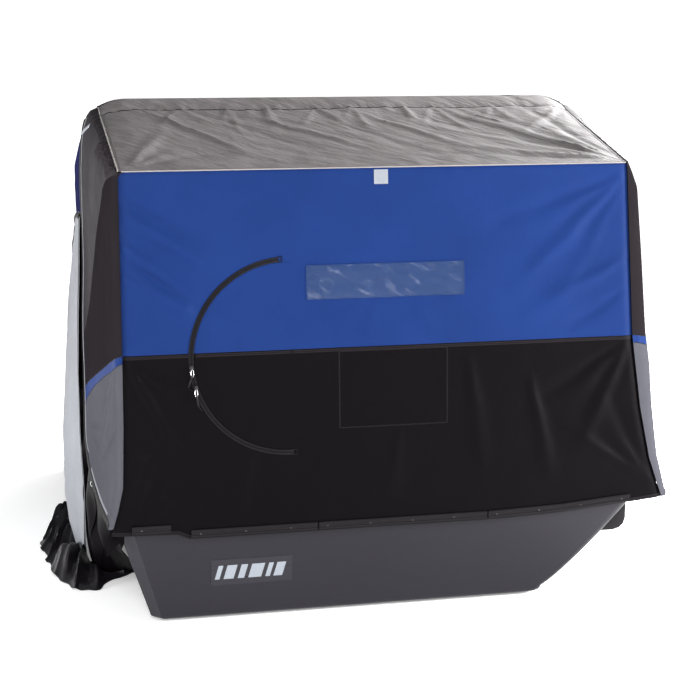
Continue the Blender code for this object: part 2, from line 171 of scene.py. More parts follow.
def inside(points, outline):
    """Which of an array's 2D points lie in an outline."""
    x, y = points[:, 0], points[:, 1]
    found = np.zeros(len(points), bool)
    for a, b in zip(outline, outline[1:] + outline[:1]):
        if abs(a[1] - b[1]) < 1e-12:
            continue
        crosses = (a[1] > y) != (b[1] > y)
        found ^= crosses & (x < (b[0] - a[0]) * (y - a[1]) / (b[1] - a[1]) + a[0])
    return found


def fill(outline, lines=(), holes=(), step=0.012):
    """Triangulates a flat outline with holes, and keeps each of the lines as a row of edges."""
    points, edges = [], []

    def chain(dense, closed):
        first = len(points)
        points.extend(Vector(p[:2]) for p in dense)
        edges.extend((first + i, first + i + 1) for i in range(len(dense) - 1))
        if closed:
            edges.append((first + len(dense) - 1, first))

    outline = densify([Vector(p[:2]) for p in outline], step)
    holes = [densify([Vector(p[:2]) for p in hole], step) for hole in holes]
    chain(outline, True)
    for hole in holes:
        chain(hole, True)
    for line in lines:
        chain(resample([Vector(p[:2]) for p in line], step), False)
    fixed = np.array([(p.x, p.y) for p in points])
    low, high = fixed.min(0), fixed.max(0)
    grid = []
    rows = int((high[1] - low[1]) / (step * 0.866)) + 1
    columns = int((high[0] - low[0]) / step) + 2
    for row in range(rows):
        shift = 0.5 * step * (row % 2)
        grid += [(low[0] + shift + step * column, low[1] + 0.866 * step * row) for column in range(columns)]
    grid = np.array(grid)
    keep = inside(grid, outline)
    for hole in holes:
        keep &= ~inside(grid, hole)
    grid = grid[keep]
    clear = np.ones(len(grid), bool)
    for start in range(0, len(grid), 2000):
        part = grid[start:start + 2000]
        gaps = ((part[:, None, :] - fixed[None, :, :]) ** 2).sum(2).min(1)
        clear[start:start + 2000] = gaps > (0.55 * step) ** 2
    points += [Vector(p) for p in grid[clear]]
    found = geometry.delaunay_2d_cdt(points, edges, [], 0, 1e-7)
    flat = np.array([(p.x, p.y) for p in found[0]])
    faces = np.array([face for face in found[2] if len(face) == 3])
    middle = flat[faces].mean(1)
    keep = inside(middle, outline)
    for hole in holes:
        keep &= ~inside(middle, hole)
    faces = faces[keep]
    a, b, c = flat[faces[:, 0]], flat[faces[:, 1]], flat[faces[:, 2]]
    area = (b[:, 0] - a[:, 0]) * (c[:, 1] - a[:, 1]) - (b[:, 1] - a[:, 1]) * (c[:, 0] - a[:, 0])
    faces = faces[np.abs(area) > 1e-10]
    used, numbers = np.unique(faces, return_inverse=True)
    return flat[used], numbers.reshape(-1, 3)


# ---- materials ------------------------------------------------------------------------------------
class Nodes:
    """A material's node tree, with a short way to add and join nodes."""

    def __init__(self, name):
        self.material = bpy.data.materials.new(name)
        self.material.use_nodes = True
        self.tree = self.material.node_tree
        self.shader = self.tree.nodes["Principled BSDF"]

    def add(self, kind, settings=None, **inputs):
        node = self.tree.nodes.new("ShaderNode" + kind)
        for key, value in (settings or {}).items():
            setattr(node, key, value)
        for key, value in inputs.items():
            self.put(node, key.replace("_", " "), value)
        return node

    def put(self, node, key, value):
        socket = node.inputs[int(key)] if key.isdigit() else node.inputs[key]
        if isinstance(value, bpy.types.NodeSocket):
            self.tree.links.new(value, socket)
        else:
            socket.default_value = value

    def place(self, source):
        """Where on the cloth, or in space, a pattern lies."""
        if source == "flat":
            return self.add("Attribute", {"attribute_name": "flat"}).outputs["Vector"]
        return self.add("TexCoord").outputs["Object"]

    def noise(self, place, scale, detail=3.0, rough=0.55, stretch=None, turn=0.0):
        if turn:
            place = self.add("Mapping", Rotation=(0.0, 0.0, turn), Vector=place).outputs["Vector"]
        if stretch is not None:
            mapping = self.add("Mapping", Scale=stretch, Vector=place)
            place = mapping.outputs["Vector"]
        made = self.add("TexNoise", Scale=scale, Detail=detail, Roughness=rough, Vector=place)
        return made.outputs["Fac"]

    def math(self, operation, a, b=0.5, c=None):
        node = self.add("Math", {"operation": operation})
        self.put(node, "0", a)
        self.put(node, "1", b)
        if c is not None:
            self.put(node, "2", c)
        return node.outputs[0]

    def ramp(self, value, low, high, start=0.0, end=1.0):
        """A colour or grey between low and high as value goes from start to end."""
        node = self.add("ValToRGB", Fac=value)
        node.color_ramp.elements[0].position = start
        node.color_ramp.elements[1].position = end
        node.color_ramp.elements[0].color = low if len(low) == 4 else (*low, 1.0)
        node.color_ramp.elements[1].color = high if len(high) == 4 else (*high, 1.0)
        return node.outputs["Color"]

    def blend(self, share, a, b):
        node = self.add("Mix", {"data_type": "RGBA"})
        self.put(node, "0", share)
        self.put(node, "6", a)
        self.put(node, "7", b)
        return node.outputs[2]

    def bump(self, height, distance, strength=1.0, below=None):
        node = self.add("Bump", Height=height, Distance=distance, Strength=strength)
        if below is not None:
            self.put(node, "Normal", below)
        return node.outputs["Normal"]

    def finish(self, **inputs):
        for key, value in inputs.items():
            self.put(self.shader, key.replace("_", " "), value)
        return self.material


def tint(colour, factor):
    return tuple(clamp(channel * factor) for channel in colour)


THREAD = 0.0011  # spacing of the cloth's threads


def bands(nodes, place, direction, scale):
    """A sine wave that runs along one axis of a surface."""
    kind = {"wave_type": "BANDS", "bands_direction": direction, "wave_profile": "SIN"}
    return nodes.add("TexWave", kind, Scale=scale, Vector=place).outputs["Fac"]


def weave(nodes, place):
    """Height of a plain weave: two crossed waves."""
    scale = 1.0 / THREAD / 3.1416 * 0.5
    return nodes.math("MULTIPLY", bands(nodes, place, "X", scale), bands(nodes, place, "Y", scale))


MOTTLE = 0.10  # how much lighter and darker a cloth's dye gets


def cloth_material(name, colour, rough=0.72, sheen=0.0, crumple=0.0, source="flat", specular=0.35):
    """Woven tent cloth: threads, soft creases, slightly uneven dye with fine pale specks."""
    nodes = Nodes(name)
    place = nodes.place(source)
    cloudy = nodes.noise(place, 3.0, 4.0)
    dye = nodes.ramp(cloudy, tint(colour, 1 - MOTTLE), tint(colour, 1 + MOTTLE), 0.3, 0.7)
    fine = nodes.noise(place, 160.0, 2.0)
    colour_out = nodes.blend(nodes.math("MULTIPLY", fine, 0.10), dye, (*tint(colour, 1.9), 1.0))
    threads = weave(nodes, place)
    creases = nodes.noise(place, 14.0, 5.0, 0.6)
    normal = nodes.bump(creases, 0.004 + crumple, 0.5)
    normal = nodes.bump(threads, 0.0003, 0.35, normal)
    roughness = nodes.math("MULTIPLY_ADD", creases, 0.16, rough - 0.08)
    material = nodes.finish(Base_Color=colour_out, Roughness=roughness, Normal=normal)
    nodes.finish(Sheen_Weight=sheen, Sheen_Roughness=0.4, Specular_IOR_Level=specular)
    return material


def roof_material(name, colour):
    """Coated grey roof cloth: streaky, finely crumpled, with a dry gleam."""
    nodes = Nodes(name)
    place = nodes.place("flat")
    streaks = nodes.noise(place, 22.0, 6.0, 0.68, (1.0, 0.22, 1.0), -0.75)
    cloudy = nodes.noise(place, 2.4, 3.0)
    share = nodes.math("MULTIPLY_ADD", streaks, 0.75, nodes.math("MULTIPLY", cloudy, 0.35))
    dye = nodes.ramp(share, tint(colour, 0.70), tint(colour, 1.30), 0.36, 0.74)
    crumple = nodes.noise(place, 24.0, 7.0, 0.62, (1.0, 0.30, 1.0), -0.75)
    normal = nodes.bump(crumple, 0.013, 0.8)
    normal = nodes.bump(weave(nodes, place), 0.0003, 0.3, normal)
    roughness = nodes.math("MULTIPLY_ADD", crumple, 0.25, 0.50)
    nodes.finish(Base_Color=dye, Roughness=roughness, Normal=normal)
    return nodes.finish(Specular_IOR_Level=0.12)


STITCH = 0.0045  # from one stitch to the next


def stitched_material(name, colour, thread):
    """A folded seam band with two rows of stitches; flat holds the distance along it and the share across."""
    nodes = Nodes(name)
    place = nodes.place("flat")
    split = nodes.add("SeparateXYZ", Vector=place)
    lengthways, across = split.outputs["X"], split.outputs["Y"]
    dash = nodes.math("FRACT", nodes.math("DIVIDE", lengthways, STITCH))
    on_dash = nodes.math("LESS_THAN", nodes.math("ABSOLUTE", nodes.math("SUBTRACT", dash, 0.5)), 0.33)
    mask = None
    for row in (-0.28, 0.28):
        near = nodes.math("LESS_THAN", nodes.math("ABSOLUTE", nodes.math("SUBTRACT", across, row)), 0.05)
        mask = near if mask is None else nodes.math("MAXIMUM", mask, near)
    mask = nodes.math("MULTIPLY", mask, on_dash)
    fine = nodes.noise(place, 60.0, 3.0)
    base = nodes.ramp(fine, tint(colour, 0.85), tint(colour, 1.2), 0.3, 0.7)
    colour_out = nodes.blend(mask, base, (*thread, 1.0))
    pucker = nodes.noise(place, 90.0, 2.0, 0.5, (1.0, 0.01, 1.0))
    normal = nodes.bump(pucker, 0.0012, 0.5)
    normal = nodes.bump(mask, 0.0005, 0.8, normal)
    nodes.finish(Base_Color=colour_out, Normal=normal)
    return nodes.finish(Roughness=0.6, Specular_IOR_Level=0.05)


def webbing_material(name, colour):
    """Coarse ribbed tape, as on a zipper."""
    nodes = Nodes(name)
    place = nodes.place("flat")
    ribs = bands(nodes, place, "X", 260.0)
    grain = nodes.noise(place, 400.0, 2.0)
    base = nodes.ramp(grain, tint(colour, 0.7), tint(colour, 1.5), 0.3, 0.7)
    normal = nodes.bump(ribs, 0.0004, 0.6)
    nodes.finish(Base_Color=base, Normal=normal)
    return nodes.finish(Roughness=0.5, Specular_IOR_Level=0.08)


def vinyl_material(name):
    """Clear window film: creased, glossy, faintly grey-blue, with painted pale glints on its crease ridges.
    """
    nodes = Nodes(name)
    place = nodes.place("flat")
    creases = nodes.noise(place, 34.0, 3.0, 0.6, (0.45, 1.6, 1.0), 0.6)
    fine = nodes.noise(place, 120.0, 2.0)
    normal = nodes.bump(creases, 0.006, 0.7)
    roughness = nodes.math("MULTIPLY_ADD", fine, 0.10, 0.06)
    # painted highlight: the film's colour turns pale where its creases rise
    colour = nodes.ramp(creases, (0.03, 0.06, 0.12), (0.30, 0.33, 0.40), 0.56, 0.80)
    nodes.finish(Base_Color=colour, Roughness=roughness, Normal=normal)
    nodes.material.surface_render_method = "BLENDED"
    return nodes.finish(Alpha=0.17, Specular_IOR_Level=0.6, IOR=1.5)


def plastic_material(
    name, colour, rough=0.5, grain=900.0, scuffs=0.35, mottle=0.08, depth=0.0004, specular=0.3
):
    """Moulded polyethylene: fine pebble grain, faint flow marks, pale scuffs."""
    nodes = Nodes(name)
    place = nodes.place("object")
    flow = nodes.noise(place, 4.0, 4.0, 0.55, (0.4, 1.0, 1.4))
    base = nodes.ramp(flow, tint(colour, 1 - mottle), tint(colour, 1 + mottle), 0.3, 0.7)
    scratch = nodes.noise(place, 9.0, 8.0, 0.72, (0.5, 6.0, 9.0))
    mask = nodes.math("MULTIPLY", nodes.ramp(scratch, (0, 0, 0), (1, 1, 1), 0.62, 0.72), scuffs)
    colour_out = nodes.blend(mask, base, (*tint(colour, 2.1), 1.0))
    pebble = nodes.noise(place, grain, 2.0)
    normal = nodes.bump(pebble, depth, 0.45)
    roughness = nodes.math("MULTIPLY_ADD", scratch, 0.22, rough - 0.11)
    nodes.finish(Base_Color=colour_out, Roughness=roughness, Normal=normal)
    return nodes.finish(Specular_IOR_Level=specular)


def metal_material(name, colour, rough=0.3, metallic=1.0, brushed=True):
    """Drawn or plated metal with fine lengthways marks and a few worn spots."""
    nodes = Nodes(name)
    place = nodes.place("object")
    marks = nodes.noise(place, 60.0, 6.0, 0.7, (1.0, 9.0, 1.0) if brushed else None)
    wear = nodes.noise(place, 12.0, 5.0, 0.65)
    base = nodes.ramp(wear, tint(colour, 0.82), tint(colour, 1.12), 0.35, 0.7)
    normal = nodes.bump(marks, 0.0002, 0.25)
    roughness = nodes.math("MULTIPLY_ADD", marks, 0.22, rough - 0.08)
    nodes.finish(Base_Color=base, Roughness=roughness, Normal=normal)
    return nodes.finish(Metallic=metallic)


def reflective_material(name, colour):
    """Glass-bead reflective tape: a pale fine honeycomb."""
    nodes = Nodes(name)
    place = nodes.place("flat")
    cells = nodes.add("TexVoronoi", {"feature": "DISTANCE_TO_EDGE"}, Scale=420.0, Vector=place)
    lines = nodes.ramp(cells.outputs["Distance"], tint(colour, 0.7), colour, 0.02, 0.12)
    normal = nodes.bump(cells.outputs["Distance"], 0.0003, 0.4)
    nodes.finish(Base_Color=lines, Normal=normal)
    return nodes.finish(Roughness=0.35, Specular_IOR_Level=0.6)


BLUE = (0.0056, 0.0184, 0.086)
BLACK = (0.0053, 0.0040, 0.0053)
GREY = (0.110, 0.101, 0.103)
STRIP = (0.0150, 0.0125, 0.0150)
SIDE_GREY = (0.050, 0.050, 0.059)
LIGHT = (0.178, 0.184, 0.200)
# black cloth tinted dark blue: painted shade with a painted blue reflection
BLACK_PAINTED_BLUE_SHADE = (0.012, 0.0135, 0.042)
SLED = (0.0106, 0.0098, 0.0140)

MAT = {
    "blue": cloth_material("blue_cloth", BLUE, 0.52, specular=0.035),
    "black": cloth_material("black_cloth", (0.0014, 0.0008, 0.0014), 0.50, specular=0.042),
    # the black cloth made lighter on the sides: a painted sheen for the light black cloth catches at a
    # grazing angle
    "black_painted_sheen": cloth_material("black_cloth_painted_sheen", (0.0112, 0.0094, 0.0110), 0.5, specular=0.0),
    "roof": roof_material("roof_cloth", GREY),
    "strip": cloth_material("strip_cloth", STRIP, 0.5, specular=0.025),
    "side_grey": cloth_material("side_grey_cloth", SIDE_GREY, 0.5, specular=0.0),
    "light": cloth_material("light_grey_cloth", LIGHT, 0.6, specular=0.05),
    "black_painted_blue_shade": cloth_material("black_cloth_painted_blue_shade", BLACK_PAINTED_BLUE_SHADE, 0.5, specular=0.0),
    "lining": cloth_material("lining_cloth", (0.006, 0.006, 0.007), 0.8, specular=0.0),
    "skirt": cloth_material("skirt_cloth", (0.007, 0.006, 0.008), 0.36, crumple=0.003, specular=0.34),
    "seam_black": stitched_material("black_seam", BLACK, (0.016, 0.015, 0.018)),
    "seam_blue": stitched_material("blue_seam", tint(BLUE, 0.97), (0.007, 0.020, 0.10)),
    "seam_grey": stitched_material("grey_seam", GREY, (0.05, 0.045, 0.045)),
    "seam_strip": stitched_material("strip_seam", STRIP, (0.02, 0.018, 0.02)),
    "seam_light": stitched_material("light_seam", tint(LIGHT, 0.8), (0.12, 0.12, 0.13)),
    "piping": webbing_material("piping", (0.012, 0.011, 0.012)),
    # the dark piping made pale: a painted highlight
    "pale_piping": webbing_material("pale_piping", (0.20, 0.185, 0.18)),
    "tape": webbing_material("zip_tape", (0.004, 0.0035, 0.004)),
    "coil": plastic_material("zip_coil", (0.006, 0.005, 0.006), 0.35, 600.0, 0.1, specular=0.08),
    "vinyl": vinyl_material("window_vinyl"),
    "patch": reflective_material("reflective_patch", (0.19, 0.205, 0.23)),
    "sled": plastic_material("sled_plastic", SLED, 0.50, specular=0.21),
    "black_plastic": plastic_material(
        "black_plastic", (0.008, 0.007, 0.008), 0.45, 700.0, 0.25, specular=0.10
    ),
    "rail": plastic_material("rail_plastic", (0.008, 0.0068, 0.008), 0.42, 700.0, 0.30, specular=0.08),
    "runner": plastic_material("runner_plastic", (0.015, 0.015, 0.016), 0.4, 700.0, 0.5),
    "alloy": metal_material("alloy_tube", (0.60, 0.61, 0.63), 0.32),
    "black_steel": metal_material("black_steel", (0.030, 0.030, 0.033), 0.4, 0.3, False),
    "bright_steel": metal_material("bright_steel", (0.62, 0.62, 0.64), 0.28),
    "slider": metal_material("slider_metal", (0.022, 0.020, 0.022), 0.35, 0.6),
    "seat": cloth_material("seat_cover", (0.020, 0.020, 0.023), 0.62, 0.2, crumple=0.002, source="object"),
    "decal": plastic_material("decal_film", tint(SLED, 1.25), 0.3, 300.0, 0.1, 0.02, 0.0001),
    "decal_pale": plastic_material("decal_pale", (0.22, 0.24, 0.27), 0.35, 300.0, 0.25, 0.03, 0.0001),
}


# ---- meshes ---------------------------------------------------------------------------------------
def show(name, mesh, sharp):
    """Puts a mesh into the scene, smooth but for edges sharper than an angle in degrees."""
    mesh.shade_smooth()
    mesh.set_sharp_from_angle(angle=math.radians(sharp))
    thing = bpy.data.objects.new(name, mesh)
    bpy.context.scene.collection.objects.link(thing)
    return thing


def settle(thing, body, node=None):
    """Says which body a piece rides on, and hides the solid of the frame that it stands for."""
    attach(thing, body)
    if node is not None:
        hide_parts(node)


class Piece:
    """Collects one piece's points and faces; each point also knows its place on the flat cloth."""

    def __init__(self):
        self.points, self.flats, self.faces, self.marks = [], [], [], []
        self.materials = []

    def mark(self, name):
        if name not in self.materials:
            self.materials.append(name)
        return self.materials.index(name)

    def add(self, points, flats, faces, name):
        """Adds points and faces; name is one material for all of the faces, or a list with one for each."""
        first = len(self.points)
        self.points += [Vector(p) for p in points]
        self.flats += [(f[0], f[1], 0.0) for f in flats]
        self.faces += [tuple(first + int(i) for i in face) for face in faces]
        names = [name] * len(faces) if isinstance(name, str) else name
        self.marks += [self.mark(n) for n in names]

    def build(self, name, sharp=40.0):
        mesh = bpy.data.meshes.new(name)
        mesh.from_pydata([tuple(p) for p in self.points], [], self.faces)
        mesh.validate()
        for material in self.materials:
            mesh.materials.append(MAT[material])
        mesh.polygons.foreach_set("material_index", self.marks)
        flat = mesh.attributes.new("flat", "FLOAT_VECTOR", "POINT")
        flat.data.foreach_set("vector", [value for place in self.flats for value in place])
        return show(name, mesh, sharp)


def grid_faces(rows, columns, wrap_rows=False, wrap_columns=True):
    """Quads between the points of a grid numbered row by row; either direction may close on itself."""
    faces = []
    for i in range(rows if wrap_rows else rows - 1):
        j = (i + 1) % rows
        for k in range(columns if wrap_columns else columns - 1):
            m = (k + 1) % columns
            faces.append((i * columns + k, i * columns + m, j * columns + m, j * columns + k))
    return faces


def open_edges(faces):
    """Edges that belong to one face only, each in that face's direction."""
    edges = {}
    for face in faces:
        for edge in zip(face, face[1:] + face[:1]):
            edges[edge] = True
    return [(a, b) for a, b in edges if (b, a) not in edges]


def thick_grid(points, flats, rows, columns, out, thickness, material, name, sharp):
    """A closed thin sheet over a grid of points, with its top on the side that out points to."""
    faces = grid_faces(rows, columns, False, False)
    a, b, c = (points[i] for i in faces[len(faces) // 2][:3])
    if (b - a).cross(c - a).dot(out) < 0:
        faces = [face[::-1] for face in faces]
    count = len(points)
    below = [p - out.normalized() * thickness for p in points]
    closed = faces + [tuple(count + i for i in face[::-1]) for face in faces]
    closed += [(p, count + p, count + q, q) for p, q in open_edges(faces)]
    piece = Piece()
    piece.add(points + below, flats * 2, closed, material)
    return piece.build(name, sharp)


def cloth(piece, flat, faces, surface, names, thickness=CLOTH, lining="lining"):
    """Adds a sheet with two sides: flat points go to space through surface(u, v, lift)."""
    outer = [surface(u, v, 0.0) for u, v in flat]
    inner = [surface(u, v, -thickness) for u, v in flat]
    count = len(flat)
    piece.add(outer + inner, list(flat) * 2, [], "lining")
    first = len(piece.points) - 2 * count
    rims = open_edges([tuple(face) for face in faces])
    piece.faces += [tuple(first + int(i) for i in face) for face in faces]
    piece.marks += [piece.mark(n) for n in names]
    piece.faces += [tuple(first + count + int(i) for i in face[::-1]) for face in faces]
    piece.marks += [piece.mark(lining)] * len(faces)
    piece.faces += [(first + a, first + count + a, first + count + b, first + b) for a, b in rims]
    piece.marks += [piece.mark(lining)] * len(rims)


def facing(surface, flat, faces, outward):
    """Turns the faces so that they look outward."""
    a, b, c = (Vector(surface(*flat[int(i)], 0.0)) for i in faces[len(faces) // 2])
    if (b - a).cross(c - a).dot(outward) < 0:
        return faces[:, ::-1]
    return faces


def ribbon(piece, path, surface, width, name, lift=0.0004, thick=0.0012, closed=False, step=0.008):
    """A flat band that follows a path on a surface, with bevelled edges."""
    line = resample([Vector(p[:2]) for p in path], step, closed)
    count = len(line)
    profile = [(-0.5, -0.6), (-0.44, 1.0), (-0.2, 1.25), (0.2, 1.25), (0.44, 1.0), (0.5, -0.6)]
    points, flats = [], []
    for i, here in enumerate(line):
        before = line[(i - 1) % count] if closed or i > 0 else here
        after = line[(i + 1) % count] if closed or i < count - 1 else here
        ahead = (after - before).normalized()
        side = Vector((ahead.y, -ahead.x))
        for across, up in profile:
            spot = here + side * (across * width)
            points.append(surface(spot.x, spot.y, lift + thick * up))
            flats.append((i * step, across))
    size = len(profile)
    faces = [(a, d, c, b) for a, b, c, d in grid_faces(count, size, closed)]
    if not closed:
        faces.append(tuple(range(size)))
        faces.append(tuple((count - 1) * size + k for k in range(size))[::-1])
    a, b, c = points[0], points[size], points[1]
    out = surface(line[0].x, line[0].y, 0.01) - surface(line[0].x, line[0].y, 0.0)
    if (b - a).cross(c - a).dot(out) < 0:
        faces = [face[::-1] for face in faces]
    piece.add(points, flats, faces, name)


def tube_points(path, radius, sides=10, closed=False):
    """Rings of points round a path, each turned as little as it can be from the one before."""
    path = [Vector(p) for p in path]
    count = len(path)
    rings, last = [], None
    for i, here in enumerate(path):
        before = path[(i - 1) % count] if closed or i > 0 else here
        after = path[(i + 1) % count] if closed or i < count - 1 else here
        ahead = (after - before).normalized()
        side = ahead.orthogonal() if last is None else last - ahead * last.dot(ahead)
        side.normalize()
        last = side
        other = ahead.cross(side)
        size = radius[i] if hasattr(radius, "__len__") else radius
        turns = [2 * math.pi * k / sides for k in range(sides)]
        rings.append([here + size * (math.cos(t) * side + math.sin(t) * other) for t in turns])
    return rings


def tube(piece, path, radius, name, sides=10, closed=False):
    """A round bar, cord or piping along a path in space."""
    rings = tube_points(path, radius, sides, closed)
    points = [p for ring in rings for p in ring]
    flats, travelled = [], 0.0
    for i in range(len(rings)):
        if i:
            travelled += (Vector(path[i]) - Vector(path[i - 1])).length
        flats += [(travelled, k / sides) for k in range(sides)]
    faces = grid_faces(len(rings), sides, closed)
    if not closed:
        faces.append(tuple(range(sides))[::-1])
        faces.append(tuple((len(rings) - 1) * sides + k for k in range(sides)))
    piece.add(points, flats, faces, name)


def hollow_tube(name, path, outer, inner, material, sides=28):
    """A drawn tube with a real bore, open at both ends."""
    piece = Piece()
    outside = tube_points(path, outer, sides)
    inside_rings = tube_points(path, inner, sides)
    rings = outside + inside_rings[::-1]
    points = [p for ring in rings for p in ring]
    piece.add(points, [(p.x, p.z) for p in points], grid_faces(len(rings), sides, True), material)
    return piece.build(name, 35)


def from_bmesh(build, name, material, sharp=35.0):
    mesh = bpy.data.meshes.new(name)
    bmesh.ops.recalc_face_normals(build, faces=build.faces)
    build.to_mesh(mesh)
    build.free()
    mesh.materials.append(MAT[material])
    return show(name, mesh, sharp)


def bevelled_box(name, low, high, bevel, material):
    """A block with rounded edges."""
    build = bmesh.new()
    bmesh.ops.create_cube(build, size=1.0)
    size = Vector(high) - Vector(low)
    middle = (Vector(high) + Vector(low)) / 2
    bmesh.ops.transform(
        build, verts=build.verts, matrix=Matrix.Translation(middle) @ Matrix.Diagonal((*size, 1))
    )
    bmesh.ops.bevel(build, geom=list(build.edges), offset=bevel, segments=3, profile=0.5, affect="EDGES")
    return from_bmesh(build, name, material)


# ---- the tent's surfaces --------------------------------------------------------------------------
def space(x, depth, height):
    return Vector((x, NEAR_Y + depth, height))


class Folds:
    """Long soft folds on a flat cloth: each is a ridge along a line that fades at both ends."""

    def __init__(self):
        self.rows = []

    def add(self, start, end, width, height):
        self.rows.append((Vector(start), Vector(end), width, height))
        return self

    def fan(self, corner, first, last, count, length, width, height):
        """Folds that spread from a corner between two directions, in degrees."""
        for i in range(count):
            turn = math.radians(mix(first, last, (i + 0.5) / count))
            reach = length * (0.72 + 0.28 * math.cos(2.4 * i))
            heading = Vector((math.cos(turn), math.sin(turn)))
            start = Vector(corner) + heading * 0.015
            size = height * (0.7 + 0.3 * math.cos(1.7 * i + 0.5))
            self.add(start, Vector(corner) + heading * reach, width, size * (1 if i % 2 else -0.6))
        return self

    def height(self, u, v):
        across = u + 0.012 * ripple(u, v, 6.0, seed=1.0)
        upward = v + 0.012 * ripple(u, v, 6.0, seed=9.0)
        spot = Vector((across, upward))
        total = 0.0
        for start, end, width, height in self.rows:
            run = end - start
            length = run.length
            share = (spot - start).dot(run) / (length * length)
            if share < -0.1 or share > 1.1:
                continue
            off = (spot - start - run * share).length
            wide = width * (0.45 + 0.9 * clamp(share))
            if off > 2.6 * wide:
                continue
            fade = smooth(clamp(share + 0.1) / 0.3) * smooth((1.1 - share) / 0.55)
            total += height * fade * math.exp(-((off / wide) ** 2))
        return total


def ripple(u, v, scale, stretch=(1.0, 1.0), seed=0.0):
    """Smooth noise from -1 to 1."""
    return noise.noise(Vector((u * scale * stretch[0], v * scale * stretch[1], seed)))


LEFT_SEAM = ((0.33, 0.921), (0.42, 0.893), (0.50, 0.874), (0.70, 0.866), (0.935, 0.862), (1.53, 0.856))
RIGHT_SEAM = ((0.355, 1.000), (0.42, 0.978), (0.50, 0.951), (0.68, 0.915), (0.935, 0.881), (1.53, 0.852))
CORNER = {
    -1: ((0.33, 0.016), (0.60, 0.022), (1.53, 0.026)),
    1: (
        (0.35, 0.030), (0.47, 0.042), (0.57, 0.049), (0.68, 0.058), (0.82, 0.065), (0.92, 0.063),
        (1.10, 0.057), (1.30, 0.051), (1.44, 0.046), (1.50, 0.033), (1.53, 0.024),
    ),
}
CORNER_DEPTH = 0.045  # how far back the rounded corner of the back wall reaches
CORNER_LENGTH = 0.062
SPREAD = (  # how much the side widens for each metre of depth, by height
    (0.36, 0.170), (0.50, 0.175), (0.75, 0.166), (1.03, 0.150), (1.28, 0.133), (1.42, 0.115), (1.61, 0.080)
)
FULL = (  # half width of the tent beyond the doorway, by height
    (0.000, 0.992), (0.06, 1.013), (0.145, 1.031), (0.25, 1.039), (0.38, 1.038), (0.56, 1.026), (0.77, 1.008),
    (0.87, 0.999), (1.13, 0.971), (1.27, 0.966), (1.40, 0.973), (1.49, 0.970), (1.56, 0.960), (1.62, 0.952),
    (1.735, 0.950),
)


def seam_x(side, height):
    """Where the back wall is sewn to the side."""
    return along(LEFT_SEAM if side < 0 else RIGHT_SEAM, height)


def wall_depth(height):
    return mix(BACK_FOOT[0], BACK_TOP[0], (height - BACK_FOOT[1]) / (BACK_TOP[1] - BACK_FOOT[1]))


EDGES = {  # half widths of the cloth's long edges at the back, ridge, slope foot and front foot
    -1: (0.856, 0.885, 0.915, 0.962),
    1: (0.853, 0.856, 0.905, 0.962),
}


def profile_edge(side, depth, height):
    """Distance inward from the tent's long profile, and the half width of the cloth's edge there."""
    spot = Vector((depth, height))
    best, width = 9.0, 0.9
    widths = EDGES[side]
    for (start, end), (first, last) in zip(zip(PROFILE, PROFILE[1:]), zip(widths, widths[1:])):
        a, b = Vector(start), Vector(end)
        run = b - a
        share = clamp((spot - a).dot(run) / run.length_squared)
        off = (spot - a.lerp(b, share)).length
        if off < best:
            best, width = off, mix(first, last, share)
    return best, width


EDGE_ROUND = 0.11  # how far below the upper edge the cloth over the bent corners of the frame is still curved


def half_width(side, depth, height):
    """Half width of the tent's side at a depth and height."""
    back = seam_x(side, height) + along(CORNER[side], height)
    near = back + along(SPREAD, height) * max(0.0, depth - 0.045)
    full = along(FULL, height) - 0.035 * smooth((depth - 1.3) / 0.8)
    plain = mix(near, full, smooth((depth - 0.50) / 0.40))
    inward, edge = profile_edge(side, depth, height)
    share = clamp(inward / EDGE_ROUND)
    return mix(edge, plain, math.sqrt(1 - (1 - share) ** 2))


def side_surface(side, folds=None, shift=0.0, rough=0.0022, width=half_width):
    """The side of the tent over flat points (run, height); run 0 is the seam with the back wall."""
    def place(run, height):
        start = wall_depth(height)
        if run < CORNER_LENGTH:
            turn = 0.5 * math.pi * max(0.0, run) / CORNER_LENGTH
            depth = start + CORNER_DEPTH * (1 - math.cos(turn))
            reach = width(side, start + CORNER_DEPTH, height)
            edge = seam_x(side, height)
            return Vector((side * mix(edge, reach, math.sin(turn)), NEAR_Y + depth, height))
        depth = start + CORNER_DEPTH + run - CORNER_LENGTH
        return Vector((side * width(side, depth, height), NEAR_Y + depth, height))

    def surface(run, height, lift):
        here = place(run, height)
        step = 0.004
        ahead = place(run + step, height)
        by_run = ahead - place(run - step, height) if run > step else ahead - here
        by_height = place(run, height + step) - place(run, height - step)
        out = by_run.cross(by_height).normalized()
        if out.x * side < 0 and abs(out.x) > 0.05 or out.x * side <= 0.05 and out.y > 0:
            out = -out
        bump = rough * ripple(run, height, 7.0, (1.0, 0.6), 3.0 + side) * smooth(run / 0.08)
        if folds is not None:
            bump += folds.height(run, height)
        return here + out * (lift + shift + bump)

    return surface


def run_of(depth, height):
    """Turns a depth on the side into the flat run from the back seam."""
    return depth - wall_depth(height) - CORNER_DEPTH + CORNER_LENGTH


def leg_depth(bail, height):
    """Depth of a bail's leg line at a height."""
    return PIVOT_DEPTH + (height - PIVOT.z) / math.tan(math.radians(ANGLE[bail]))


def turn_of(point):
    """Angle of a point about the pivot line, in degrees above +Y."""
    found = math.degrees(math.atan2(point.z - PIVOT.z, point.y - PIVOT.y))
    return found + 360.0 if found < -90.0 else found


def sector_weight(first, last):
    """Share of the way from one bail to the next, by the angle about the pivot line."""
    def weight(point):
        return clamp((ANGLE[first] - turn_of(point)) / (ANGLE[first] - ANGLE[last]))
    return weight


def back_weight(point):
    """Weight that keeps a point of the back wall with the sled at its hem and gives it to the rear bail
    higher up.
    """
    rise = smooth((point.z - 0.365) / 0.20)
    turned = 1 - smooth((turn_of(point) - 120.0) / 55.0)
    return max(rise, turned)


